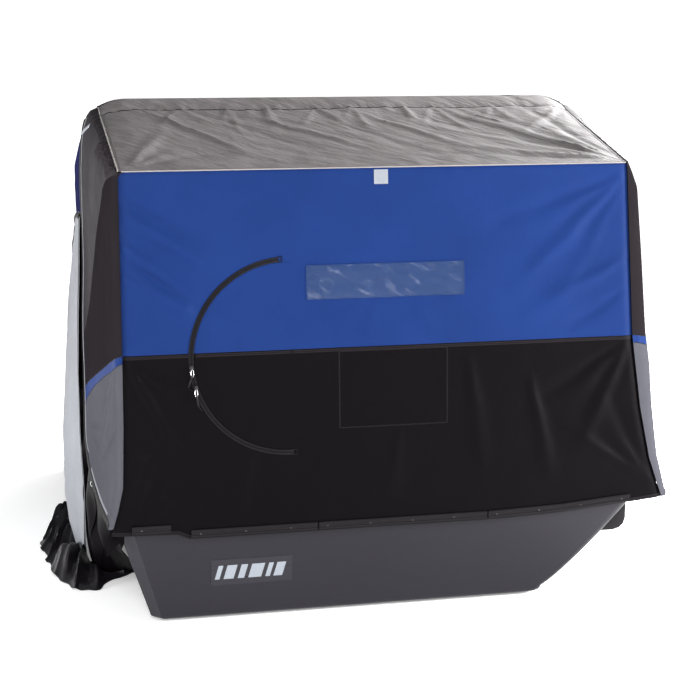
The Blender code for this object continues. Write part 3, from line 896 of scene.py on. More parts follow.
def bend(thing, first, second, weight):
    """Bakes a piece's placement into its points and works out each point's weight across one joint."""
    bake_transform(thing)
    values = [weight(vertex.co) for vertex in thing.data.vertices]


def stretch(thing, first, second, tubes, node, slot, flat, faces):
    """Finishes a cloth panel that is stretched between the tubes of two neighbouring bails."""
    bend(thing, first + "_bail", second + "_bail", sector_weight(first, second))
    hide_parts(node)
    declare_sheet(thing, flat, faces)


def declare_sheet(thing, flat, faces):
    """Works out how large the cloth was cut, from its flat points."""
    a, b, c = (flat[faces[:, k]] for k in range(3))
    twice = (b[:, 0] - a[:, 0]) * (c[:, 1] - a[:, 1]) - (b[:, 1] - a[:, 1]) * (c[:, 0] - a[:, 0])
    area = float(np.abs(twice).sum() / 2)
    size = flat.max(0) - flat.min(0)
    area = clamp(area, 0.31 * size[0] * size[1], size[0] * size[1])


# ---- back wall ------------------------------------------------------------------------------------
HEM = (
    (-0.915, 0.340), (-0.70, 0.334), (-0.66, 0.3165), (0.40, 0.3165), (0.62, 0.325), (0.88, 0.346),
    (1.0, 0.357)
)


def wall_folds():
    """Soft folds pulled from the wall's corners and edges, over both colours."""
    folds = Folds()
    for i in range(6):  # side by side below the upper left corner
        top = 1.465 - 0.052 * i
        folds.add(
            (-0.862, top), (-0.60 + 0.03 * (i % 3), top - 0.19 - 0.02 * (i % 2)), 0.018,
            0.0066 if i % 2 else -0.0044
        )
    for i in range(3):
        folds.add(
            (-0.84 + 0.05 * i, 1.24 - 0.03 * i), (-0.52 + 0.06 * i, 0.96), 0.026,
            0.0062 - 0.0085 * (i % 2)
        )
    folds.fan((0.85, 1.50), 196, 246, 6, 0.66, 0.026, 0.0055)
    folds.add((0.84, 1.20), (0.46, 0.99), 0.032, 0.0055)
    folds.add((0.84, 1.08), (0.60, 0.96), 0.022, -0.0040)
    folds.add((0.10, 1.07), (0.22, 0.95), 0.024, 0.0022)
    folds.add((-0.02, 1.06), (-0.06, 0.95), 0.020, 0.0018)
    folds.fan((-0.86, 0.93), -22, -80, 5, 0.46, 0.018, 0.0060)
    folds.fan((-0.87, 0.62), -60, 10, 3, 0.30, 0.018, 0.0040)
    folds.fan((-0.86, 0.36), 30, 78, 4, 0.34, 0.018, 0.0050)
    folds.fan((0.97, 0.40), 112, 160, 5, 0.50, 0.026, 0.0056)
    folds.fan((0.87, 0.92), 205, 262, 5, 0.48, 0.024, 0.0050)
    folds.add((0.30, 0.88), (0.36, 0.42), 0.030, 0.0045)
    folds.add((0.52, 0.80), (0.60, 0.40), 0.028, 0.0055)
    folds.add((0.05, 0.66), (0.02, 0.40), 0.024, 0.0030)
    folds.add((-0.45, 0.62), (-0.50, 0.36), 0.022, 0.0030)
    return folds


WALL_FOLDS = wall_folds()


def wall_surface(x, height, lift):
    """The back wall's outside over flat points (x, height), or lift metres in front of it."""
    slope = Vector((BACK_TOP[0] - BACK_FOOT[0], BACK_TOP[1] - BACK_FOOT[1])).normalized()
    out = Vector((0, -slope.y, slope.x))
    side = 1 if x > 0 else -1
    gap = seam_x(side, height) - abs(x)
    corner = 0.007 * (1 - smooth(gap / 0.035)) ** 2
    calm = smooth((height - 0.33) / 0.06) * smooth((BACK_TOP[1] - height) / 0.03)
    soft = 0.0032 * ripple(x, height, 3.2, (1.0, 0.8), 7.0)
    soft += 0.0012 * ripple(x, height, 11.0, (1.0, 0.7), 2.0)
    top = 0.004 * (1 - smooth((BACK_TOP[1] - height) / 0.010)) ** 2
    from_tape = abs((Vector((x, height)) - Vector(FLAP_CENTRE)).length - TAPE_RADIUS)
    # the zip holds the cloth flat
    stiff = 0.2 + 0.8 * smooth((from_tape - 0.008) / 0.05) if x < CHORD_X + 0.06 else 1.0
    bump = calm * stiff * smooth(gap / 0.03) * (soft + 1.5 * WALL_FOLDS.height(x, height))
    foot = space(x, wall_depth(height), height)
    return foot + out * (lift + bump - corner - top)


def flap_point(radius, turn):
    """A point of the wall at a distance and an angle (in radians) from the middle of the half-moon flap."""
    return Vector((FLAP_CENTRE[0] + radius * math.cos(turn), FLAP_CENTRE[1] + radius * math.sin(turn)))


def half_moon(radius):
    """The access flap's outline: a straight hinge edge and an arc on its left."""
    reach = math.acos((CHORD_X - FLAP_CENTRE[0]) / radius)
    return [flap_point(radius, mix(reach, 2 * math.pi - reach, step / 28)) for step in range(29)]


ROUNDING = 0.030  # radius of the blue cloth's upper corners; beyond it the roof's binding shows


def corner_centre(side):
    return Vector((side * (seam_x(side, BACK_TOP[1]) - ROUNDING), BACK_TOP[1] - ROUNDING))


def corner_arc(side):
    centre = corner_centre(side)
    turns = [math.pi / 2 * i / 8 for i in range(9)]
    arc = [centre + ROUNDING * Vector((side * math.cos(t), math.sin(t))) for t in turns]
    return [centre.lerp(arc[0], 0.96)] + arc[1:-1] + [centre.lerp(arc[-1], 0.96)]


def wall_colour(x, z):
    side = 1 if x > 0 else -1
    centre = corner_centre(side)
    if side < 0 and z > centre.y and abs(x) > abs(centre.x) and (Vector((x, z)) - centre).length > ROUNDING:
        return "strip"
    return "blue" if z > SEAM_HEIGHT else "black"


def wall_colours(flat, faces):
    return [wall_colour(x, z) for x, z in flat[faces].mean(1)]


def ring_path(low, high):
    (x0, z0), (x1, z1) = low, high
    return [Vector((x0, z0)), Vector((x1, z0)), Vector((x1, z1)), Vector((x0, z1))]


def arc_path(radius, first, last, steps=60):
    return [flap_point(radius, math.radians(mix(first, last, step / steps))) for step in range(steps + 1)]


def back_wall():
    heights = [mix(0.34, BACK_TOP[1], i / 14) for i in range(15)]
    left = [Vector((-seam_x(-1, z), z)) for z in heights]
    right = [Vector((seam_x(1, z), z)) for z in heights]
    right[0] = Vector((1.0, 0.357))
    hem = [Vector(p) for p in HEM[1:-1]]
    outline = left[::-1] + hem + right
    hole = half_moon(FLAP_RADIUS)
    piece = Piece()
    split_left = [
        Vector((-seam_x(-1, SEAM_HEIGHT) + 0.001, SEAM_HEIGHT)),
        Vector((-FLAP_RADIUS - 0.326, SEAM_HEIGHT))
    ]
    split_right = [
        Vector((CHORD_X + 0.002, SEAM_HEIGHT)), Vector((seam_x(1, SEAM_HEIGHT) - 0.001, SEAM_HEIGHT))
    ]
    flat, faces = fill(outline, [split_left, split_right, corner_arc(-1)], [hole], 0.0125)
    faces = facing(wall_surface, flat, faces, Vector((0, -1, 0)))
    cloth(piece, flat, faces, wall_surface, wall_colours(flat, faces))
    for path in (split_left, split_right):
        lower = [p - Vector((0, 0.008)) for p in path]
        ribbon(piece, lower, wall_surface, 0.012, "seam_black", 0.0001, 0.0008)
    ribbon(
        piece, ring_path((-0.257, 1.097), (0.281, 1.211)), wall_surface, 0.005, "seam_blue", 0.0004,
        0.0008, True
    )
    ribbon(
        piece, ring_path((-0.15, 0.663), (0.22, 0.922)), wall_surface, 0.005, "seam_black", 0.0, 0.0007,
        True
    )
    hem_line = [Vector(p) + Vector((0, 0.006)) for p in HEM]
    ribbon(piece, hem_line, wall_surface, 0.014, "seam_black", 0.0002, 0.0012)
    thing = piece.build("back_wall_cloth")
    bend(thing, "sled", "rear_bail", back_weight)
    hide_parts("back_wall")
    declare_sheet(thing, flat, faces)


def back_flap():
    """The zip flap of the back wall, hinged on its straight edge."""
    outline = half_moon(FLAP_RADIUS - 0.0008)
    line = [Vector((FLAP_CENTRE[0] - 0.311, SEAM_HEIGHT)), Vector((CHORD_X - 0.001, SEAM_HEIGHT))]
    piece = Piece()
    flat, faces = fill(outline, [line], [], 0.0125)
    faces = facing(wall_surface, flat, faces, Vector((0, -1, 0)))
    cloth(piece, flat, faces, wall_surface, wall_colours(flat, faces))
    lower = [Vector((p.x, p.y - 0.008)) for p in line]
    lower[0].x += 0.004
    lower[1].x -= 0.002
    ribbon(piece, lower, wall_surface, 0.012, "seam_black", 0.0001, 0.0008)
    thing = piece.build("back_flap_cloth")
    settle(thing, "back_flap", "back_flap")
    declare_sheet(thing, flat, faces)


def zipper():
    """Two tapes with a coil between them and two end stops."""
    piece = Piece()
    for offset in (-0.0046, 0.0046):
        ribbon(
            piece, arc_path(TAPE_RADIUS + offset, 95, 272), wall_surface, 0.0080, "tape", 0.0006, 0.0014,
            step=0.004
        )
    path = arc_path(TAPE_RADIUS, 95, 272)
    places = resample(path, 0.0034)
    for i, here in enumerate(places[1:-1], 1):
        ahead = (places[i + 1] - places[i - 1]).normalized()
        side = Vector((ahead.y, -ahead.x)) * (1 if i % 2 else -1)
        spots = ring_path((-0.0008, -0.0008), (0.0026, 0.0008))
        corners = [here + side * spot.x + ahead * spot.y for spot in spots]
        low = [wall_surface(p.x, p.y, 0.0015) for p in corners]
        high = [wall_surface(p.x, p.y, 0.0030) for p in corners]
        faces = [(4, 5, 6, 7), (0, 1, 5, 4), (1, 2, 6, 5), (2, 3, 7, 6), (3, 0, 4, 7)]
        if i % 2:
            faces = [face[::-1] for face in faces]
        piece.add(low + high, [(p.x, p.y) for p in corners] * 2, faces, "coil")
    for turn in (94.2, 272.8):
        centre = arc_path(TAPE_RADIUS, turn, turn, 1)[0]
        radial = (centre - Vector(FLAP_CENTRE)).normalized()
        ahead = Vector((radial.y, -radial.x))
        spots = ring_path((-0.009, -0.006), (0.009, 0.006))
        bar = [centre + radial * spot.x + ahead * spot.y for spot in spots]
        ribbon(piece, bar, wall_surface, 0.003, "seam_black", 0.001, 0.001, True, 0.003)
    thing = piece.build("zip_tape_and_coil")
    settle(thing, "rear_bail", "zipper_tape")


def slider(name, turn, lift):
    """A zip slider: a shaped body, a bail and a long pull with a corded grip."""
    centre = arc_path(TAPE_RADIUS, turn, turn, 1)[0]
    piece = Piece()

    def at(dx, dz, up):
        return wall_surface(centre.x + dx, centre.y + dz, up)

    rings = []
    for dz, half in ((0.011, 0.004), (0.009, 0.0062), (0.002, 0.0068), (-0.006, 0.0052), (-0.011, 0.0040)):
        crown = [at(share * half, dz, lift + 0.003) for share in (-0.8, 0.8)]
        rings.append([at(-half, dz, lift)] + crown + [at(half, dz, lift)])
    points = [p for ring in rings for p in ring]
    faces = [(4 * i + k, 4 * i + 4 + k, 4 * i + 5 + k, 4 * i + 1 + k) for i in range(4) for k in range(3)]
    faces += [(0, 1, 2, 3), (19, 18, 17, 16)]
    faces += [(4 * i + 3, 4 * i + 7, 4 * i + 4, 4 * i) for i in range(4)]
    piece.add(points, [(p.x, p.z) for p in points], faces, "slider")
    top = lift + 0.0042
    bail = [
        at(0, 0.006, lift + 0.002), at(0, 0.005, top), at(0, -0.002, top + 0.001),
        at(0, -0.006, lift + 0.002)
    ]
    tube(piece, curve(bail, 6), 0.0012, "slider", 8)
    sway = -0.35 if name == "upper" else 0.18
    ring = []
    for step in range(20):
        angle = 2 * math.pi * step / 20
        dx, dz = 0.0042 * math.cos(angle), -0.013 + 0.012 * math.sin(angle)
        ring.append(at(dx - sway * 0.004, dz, top + 0.0008))
    tube(piece, ring, 0.0011, "bright_steel", 8, True)
    grip = [at(sway * s * 0.9, -0.022 - s, top + 0.001 - 0.05 * s) for s in (0.0, 0.008, 0.018, 0.028, 0.036)]
    radii = [0.0022, 0.0034, 0.0036, 0.0034, 0.0020]
    line = curve(grip, 4)
    sizes = [
        along(list(zip([i / 4 for i in range(5)], radii)), i / (len(line) - 1)) for i in range(len(line))
    ]
    tube(piece, line, sizes, "black_plastic", 10)
    tail = [
        at(sway * 0.034, -0.056, top), at(sway * 0.040 + 0.004, -0.066, lift),
        at(sway * 0.03 + 0.014, -0.072, lift)
    ]
    tube(piece, curve(tail, 6), 0.0011, "black_plastic", 6)
    thing = piece.build("zip_slider_" + name)
    settle(thing, "slider_" + name, "slider_" + name)


def back_window():
    """Clear film over the window's blue cover, creased, inside its stitched border."""
    low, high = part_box("back_window")
    outline = ring_path((low.x, low.z), (high.x, high.z))

    def film(x, height, lift):
        edge = min(x - low.x, high.x - x, height - low.z, high.z - height)
        calm = smooth(edge / 0.02)
        crease = 0.0016 * ripple(x, height, 16.0, (1.0, 1.6), 11.0)
        crease += 0.0009 * ripple(x, height, 40.0, (1.0, 1.4), 5.0)
        return wall_surface(x, height, lift + 0.0022 + calm * (0.001 + crease))

    flat, faces = fill(outline, [], [], 0.006)
    faces = facing(film, flat, faces, Vector((0, -1, 0)))
    piece = Piece()
    cloth(piece, flat, faces, film, ["vinyl"] * len(faces), 0.0005, "vinyl")
    thing = piece.build("back_window_film")
    settle(thing, "rear_bail", "back_window")
    declare_sheet(thing, flat, faces)


def patch():
    """The small square of reflective tape near the top of the back wall."""
    piece = Piece()
    flat, faces = fill(ring_path((-0.0265, 1.471), (0.0205, 1.518)), [], [], 0.008)
    faces = facing(wall_surface, flat, faces, Vector((0, -1, 0)))

    def raised(x, height, lift):
        return wall_surface(x, height, lift + 0.0016)

    cloth(piece, flat, faces, raised, ["patch"] * len(faces), 0.0010, "patch")
    thing = piece.build("reflective_patch")
    settle(thing, "rear_bail")


RAILS = (  # lower edge of each hem rail as (x, height); the last one climbs with the hem
    ((-0.850, 0.342), (-0.723, 0.342)), ((-0.656, 0.320), (-0.232, 0.320)), ((-0.227, 0.320), (0.360, 0.320)),
    ((0.365, 0.320), (0.620, 0.328), (0.880, 0.349)),
)


def hem_rails():
    """Grooved strips that clamp the hem: a C section with two ribs and a few rivets."""
    section = [
        (0.000, 0.0), (0.000, 0.0046), (0.0025, 0.0060), (0.0070, 0.0060), (0.0085, 0.0038), (0.0150, 0.0036),
        (0.0165, 0.0062), (0.0225, 0.0062), (0.0260, 0.0040), (0.0260, 0.0),
    ]
    for index, row in enumerate(RAILS, 1):
        node = "hem_rail_" + str(index)
        piece = Piece()
        line = resample([Vector(p) for p in row], 0.03)
        points, flats = [], []
        for here in line:
            for rise, out in section:
                points.append(hem_surface(here.x, here.y + rise, 0.0016 + out))
                flats.append((here.x, rise))
        size = len(section)
        faces = [(b, c, d, a) for a, b, c, d in grid_faces(len(line), size)]
        faces.append(tuple(range(size)))
        faces.append(tuple((len(line) - 1) * size + k for k in range(size))[::-1])
        piece.add(points, flats, faces, "rail")
        for here in line[1:-1:5]:
            centre = hem_surface(here.x, here.y + 0.0118, 0.0050)
            dome(piece, centre, Vector((0, -1, 0)), 0.0030, 0.0014, "black_steel")
        thing = piece.build(node + "_strip", 30)
        settle(thing, "sled", node)


def hem_surface(x, height, lift):
    """The hem's own straight face, which the rails lie on."""
    slope = Vector((BACK_TOP[0] - BACK_FOOT[0], BACK_TOP[1] - BACK_FOOT[1])).normalized()
    return space(x, wall_depth(height), height) + Vector((0, -slope.y, slope.x)) * lift


def dome(piece, centre, out, radius, rise, name):
    """A low round head, as on a rivet or screw."""
    out = Vector(out).normalized()
    side = out.orthogonal().normalized()
    other = out.cross(side)
    points, flats = [], []
    sides = 12
    levels = ((1.0, -0.2), (1.0, 0.25), (0.8, 0.7), (0.45, 0.95))  # share of the radius, share of the rise
    for size, up in levels:
        for k in range(sides):
            turn = 2 * math.pi * k / sides
            around = math.cos(turn) * side + math.sin(turn) * other
            points.append(centre + radius * size * around + out * rise * up)
            flats.append((math.cos(turn) * size, math.sin(turn) * size))
    points.append(centre + out * rise)
    flats.append((0, 0))
    faces = grid_faces(len(levels), sides)
    last = (len(levels) - 1) * sides
    faces += [(last + k, last + (k + 1) % sides, len(points) - 1) for k in range(sides)]
    piece.add(points, flats, faces, name)


# ---- roof, slope and front ------------------------------------------------------------------------
def span_surface(start, end, index, folds, sag, seed, droop, sleeve=None):
    """Cloth stretched between two lines across the tent; flat points are (x, distance from start)."""
    a, b = Vector(start), Vector(end)
    length = (b - a).length
    run = (b - a).normalized()
    up = Vector((-run.y, run.x))

    def surface(x, distance, lift):
        share = distance / length
        centre = a + run * distance
        edge = mix(*EDGES[1 if x > 0 else -1][index:index + 2], share)
        calm = smooth((edge - abs(x)) / 0.05) * smooth(distance / 0.05) * smooth((length - distance) / 0.05)
        drop = -sag * math.sin(math.pi * clamp(share)) * (1 - (x / edge) ** 4)
        soft = 0.0045 * ripple(x, distance, 4.0, (1.0, 1.0), seed)
        soft += 0.0022 * ripple(x, distance, 13.0, (1, 1), seed + 4)
        bump = drop + calm * soft + folds.height(x, distance) * smooth((edge - abs(x)) / 0.02)
        bump -= droop(share) * (max(0.0, abs(x) - edge + 0.10) / 0.10) ** 2
        if sleeve is not None:
            bump += sleeve(x, distance, length)
        spot = centre + up * (lift + bump)
        return space(x, spot.x, spot.y)

    return surface, length


SLEEVE = 0.115  # width of the pole sleeve along the ridge


def ridge_sleeve(x, distance, length):
    """The pole sleeve along the ridge: a round ridge behind a sunken, puckered seam."""
    off = length - distance
    strong = 1 + 0.5 * math.exp(-(((x - 0.70) / 0.09) ** 2))
    pucker = 0.6 + 0.5 * ripple(x, 0.0, 38.0, (1, 1), 21.0)
    groove = -0.0060 * strong * pucker * math.exp(-(((off - SLEEVE) / 0.007) ** 2))
    swell = 0.006 * math.sin(math.pi * clamp(off / SLEEVE)) if off < SLEEVE else 0.0
    ridges = 0.003 * strong * ripple(x, 0.0, 30.0, (1, 1), 5.0) * math.exp(-(((off - SLEEVE) / 0.03) ** 2))
    return groove + swell + ridges


def roof_folds(length):
    folds = Folds()
    folds.fan((-0.83, 0.03), 20, 75, 4, 0.5, 0.024, 0.007)
    folds.fan((0.83, 0.03), 100, 172, 9, 0.95, 0.018, 0.0085)
    folds.fan((0.84, length - 0.10), 190, 250, 5, 0.5, 0.018, 0.0045)
    folds.fan((-0.84, length - 0.06), -60, -10, 3, 0.4, 0.022, 0.004)
    for i in range(8):
        x = -0.60 + 0.16 * i + 0.04 * math.sin(3 * i)
        lean = 0.05 + 0.05 * math.cos(2 * i)
        folds.add(
            (x, length - 0.10), (x + lean, length - 0.28 - 0.14 * math.sin(1.3 * i) ** 2), 0.014, 0.0045
        )
        folds.add(
            (x, length - 0.10), (x - lean, length - 0.24 - 0.10 * math.cos(1.1 * i) ** 2), 0.012, 0.0034
        )
    for i in range(7):  # long streaks from the ridge down towards the right
        x = -0.70 + 0.19 * i
        folds.add(
            (x, 0.60 - 0.03 * (i % 3)), (x + 0.34 + 0.03 * (i % 2), 0.10 + 0.05 * (i % 3)), 0.014,
            0.0070 - 0.0110 * (i % 2)
        )
    return folds


def panel_between(
    start, end, index, colours, folds, sag, seed, outward, droop, sleeve=None, step=0.0125, lines=()
):
    """Builds one cross panel; returns the piece, its surface, its length and its flat mesh."""
    surface, length = span_surface(start, end, index, folds, sag, seed, droop, sleeve)
    left, right = EDGES[-1], EDGES[1]
    outline = [
        Vector((-left[index], 0)), Vector((right[index], 0)),
        Vector((right[index + 1], length)), Vector((-left[index + 1], length)),
    ]
    flat, faces = fill(outline, lines, [], step)
    faces = facing(surface, flat, faces, outward)
    piece = Piece()
    middle = flat[faces].mean(1)
    cloth(piece, flat, faces, surface, [colours(u, v) for u, v in middle])
    return piece, surface, length, flat, faces


def roof():
    length = (Vector(RIDGE) - Vector(BACK_TOP)).length
    piece, surface, length, flat, faces = panel_between(
        BACK_TOP, RIDGE, 0, lambda u, v: "roof", roof_folds(length), 0.012, 5.0,
        Vector((0, -0.2, 1)), lambda share: RIDGE_DROOP * share, ridge_sleeve,
    )
    seam = [Vector((-0.878, length - SLEEVE)), Vector((0.852, length - SLEEVE))]
    ribbon(piece, seam, surface, 0.0050, "piping", 0.0003, 0.0008, step=0.005)
    edge = [Vector((-0.85, 0.004)), Vector((0.85, 0.004))]
    ribbon(piece, edge, surface, 0.008, "seam_grey", 0.0004, 0.0010)
    hem = resample([Vector((-0.845, 0.0)), Vector((0.845, 0.0))], 0.02)
    # the roof's back edge is piped in the pale copy: a painted highlight
    tube(piece, [surface(p.x, p.y, -0.001) + Vector((0, -0.0015, 0)) for p in hem], 0.0022, "pale_piping", 8)
    for side in (-1, 1):
        line = resample([Vector((side * EDGES[side][0], 0.0)), Vector((side * EDGES[side][1], length))], 0.02)
        # the left edge's piping is the pale copy, a painted highlight; the right edge keeps the dark piping
        tube(
            piece, [surface(p.x, p.y, 0.0010) for p in line], 0.0024,
            "pale_piping" if side < 0 else "piping", 8
        )
        inner = [
            Vector((side * 0.844, 0.01)),
            Vector((side * (EDGES[side][1] - 0.014), length - SLEEVE - 0.01))
        ]
        ribbon(piece, inner, surface, 0.006, "seam_grey", 0.0001, 0.0007)
    thing = piece.build("roof_cloth")
    stretch(thing, "rear", "middle", "_hoop", "roof", "grey_cloth", flat, faces)


def film_window(piece, surface, low, high):
    """A clear window let into a panel, with its stitched border."""
    flat, faces = fill(ring_path(low, high), [], [], 0.012)
    faces = facing(surface, flat, faces, surface(*flat[0], 0.1) - surface(*flat[0], 0.0))

    def raised(u, v, lift):
        crease = 0.0012 * ripple(u, v, 18.0, (1, 1.4), 9.0)
        return surface(u, v, lift + 0.0022 + crease)

    cloth(piece, flat, faces, raised, ["vinyl"] * len(faces), 0.0006, "vinyl")
    ribbon(piece, ring_path(low, high), surface, 0.022, "seam_black", 0.0012, 0.0014, True)


def front_slope():
    folds = Folds()
    folds.fan((-0.86, 0.05), 10, 70, 4, 0.5, 0.025, 0.006)
    folds.fan((0.86, 0.05), 110, 170, 4, 0.5, 0.025, 0.006)
    folds.fan((-0.89, 0.74), -70, -15, 3, 0.45, 0.025, 0.005)
    folds.fan((0.89, 0.74), 195, 250, 3, 0.45, 0.025, 0.005)
    length = (Vector(SLOPE_FOOT) - Vector(RIDGE)).length
    divide = 0.42

    def colours(u, v):
        return "black" if v > divide else "roof"

    line = [Vector((-0.87, divide)), Vector((0.87, divide))]
    piece, surface, length, flat, faces = panel_between(
        RIDGE, SLOPE_FOOT, 1, colours, folds, 0.012, 9.0, Vector((0, 0.5, 1)),
        lambda share: RIDGE_DROOP * (1 - share), None, 0.015, [line],
    )
    ribbon(piece, line, surface, 0.012, "seam_black", 0.0, 0.0009)
    for x in (-0.46, 0.46):
        film_window(piece, surface, (x - 0.24, 0.50), (x + 0.24, 0.66))
    for distance, name in ((0.040, "seam_grey"), (length - 0.045, "seam_black")):
        ribbon(
            piece, [Vector((-0.87, distance)), Vector((0.845, distance))], surface, 0.010, name, 0.0,
            0.0010
        )
    for side in (-1, 1):
        line = resample(
            [Vector((side * EDGES[side][1], 0.004)), Vector((side * EDGES[side][2], length))], 0.02
        )
        tube(piece, [surface(p.x, p.y, 0.0012) for p in line], 0.0030, "piping", 8)
    thing = piece.build("front_slope_cloth")
    stretch(thing, "middle", "front", "_hoop", "front_slope", "grey_cloth", flat, faces)


def front_wall():
    folds = Folds()
    folds.fan((-0.88, 0.05), 25, 80, 4, 0.6, 0.03, 0.007)
    folds.fan((0.88, 0.05), 100, 155, 4, 0.6, 0.03, 0.007)
    folds.fan((-0.93, 1.38), -75, -20, 4, 0.5, 0.03, 0.006)
    folds.fan((0.93, 1.38), 200, 255, 4, 0.5, 0.03, 0.006)
    divide = 0.62

    def colours(u, v):
        return "black" if v > divide else "blue"

    line = [Vector((-0.90, divide)), Vector((0.90, divide))]
    piece, surface, length, flat, faces = panel_between(
        SLOPE_FOOT, FRONT_FOOT, 2, colours, folds, 0.010, 15.0, Vector((0, 1, 0.4)),
        lambda share: 0.0, None, 0.016, [line],
    )
    ribbon(piece, line, surface, 0.012, "seam_black", 0.0, 0.0009)
    for x in (-0.5, 0.5):
        film_window(piece, surface, (x - 0.22, 0.24), (x + 0.22, 0.42))
    ribbon(piece, [Vector((-0.90, 0.03)), Vector((0.89, 0.03))], surface, 0.010, "seam_blue", 0.0, 0.0010)
    ribbon(
        piece, [Vector((-0.95, length - 0.02)), Vector((0.95, length - 0.02))], surface, 0.030,
        "seam_black", 0.0, 0.0014
    )
    for side in (-1, 1):
        line = resample([Vector((side * EDGES[side][2], 0.0)), Vector((side * EDGES[side][3], length))], 0.03)
        tube(piece, [surface(p.x, p.y, 0.0012) for p in line], 0.0030, "piping", 8)
    thing = piece.build("front_wall_cloth")
    stretch(thing, "front", "ground", "_hoop", "front_wall", "blue_cloth", flat, faces)


# ---- sides ----------------------------------------------------------------------------------------
OPENING = [  # the doorway's near edge as (depth, height), from the middle bail down to the sled's corner
    (0.660, 1.40), (0.622, 1.29), (0.602, 1.16), (0.600, 0.92), (0.574, 0.782), (0.563, 0.707), (0.548, 0.60),
    (0.535, 0.53), (0.490, 0.481), (0.38, 0.428), (0.23, 0.388), (0.10, 0.366), (0.01, 0.358)
]
SWOOSH_TOP = [
    (-0.02, 0.937), (0.00, 0.935), (0.13, 0.891), (0.295, 0.828), (0.457, 0.767), (0.54, 0.726),
    (0.62, 0.675),
]
SWOOSH_LOW = [
    (-0.02, 0.911), (0.00, 0.908), (0.045, 0.888), (0.197, 0.834), (0.39, 0.757), (0.497, 0.697),
    (0.55, 0.651), (0.60, 0.590),
]
BLACK_EDGE = [
    (0.00, 1.520), (0.045, 1.514), (0.10, 1.503), (0.16, 1.486), (0.215, 1.455), (0.250, 1.400),
    (0.302, 1.325), (0.345, 1.255), (0.412, 1.146), (0.475, 1.030), (0.547, 0.931), (0.62, 0.850),
]


def to_flat(points):
    return [Vector((run_of(depth, height), height)) for depth, height in points]


def side_folds(side):
    folds = Folds()
    for i in range(5):  # tight puckers where the roof seam meets the rear hoop's bend
        top = 0.07 + 0.065 * i
        tall = 0.011 if side < 0 else 0.003
        folds.add((top, 1.535 + 0.24 * top), (top + 0.07, 1.480 + 0.22 * top), 0.007, tall)
    folds.fan((0.07, 1.47), -85, -50, 4, 0.55, 0.014, 0.006)
    folds.fan((0.07, 0.90), -80, -35, 5, 0.42, 0.014, 0.007)
    folds.fan((0.50, 0.60), 160, 215, 5, 0.35, 0.014, 0.006)
    folds.fan((0.10, 0.41), 30, 80, 4, 0.30, 0.014, 0.007)
    folds.add((0.12, 0.80), (0.30, 0.56), 0.015, 0.008)
    folds.add((0.05, 0.70), (0.34, 0.50), 0.013, -0.007)
    folds.add((0.14, 0.62), (0.10, 0.42), 0.012, 0.007)
    return folds


def near_side_colour(run, height):
    """Colours of the side beside the back wall: black lightened by a painted sheen, a blue band, grey below,
    a grey strip beyond.
    """
    depth = run - CORNER_LENGTH + CORNER_DEPTH + wall_depth(height)
    if height < along(SWOOSH_LOW, depth):
        return "side_grey"
    if height < along(SWOOSH_TOP, depth):
        return "blue"
    edge = along([(h, d) for d, h in BLACK_EDGE[::-1]], height)
    return "black_painted_sheen" if depth < edge else "strip"


def flat_edge(points):
    """A colour seam, made of straight pieces so that the colours change exactly on it."""
    return densify_open(to_flat(points), 0.02)


def densify_open(line, step):
    dense = []
    for a, b in zip(line, line[1:]):
        parts = max(1, round((b - a).length / step))
        dense += [a.lerp(b, i / parts) for i in range(parts)]
    return dense + [line[-1]]


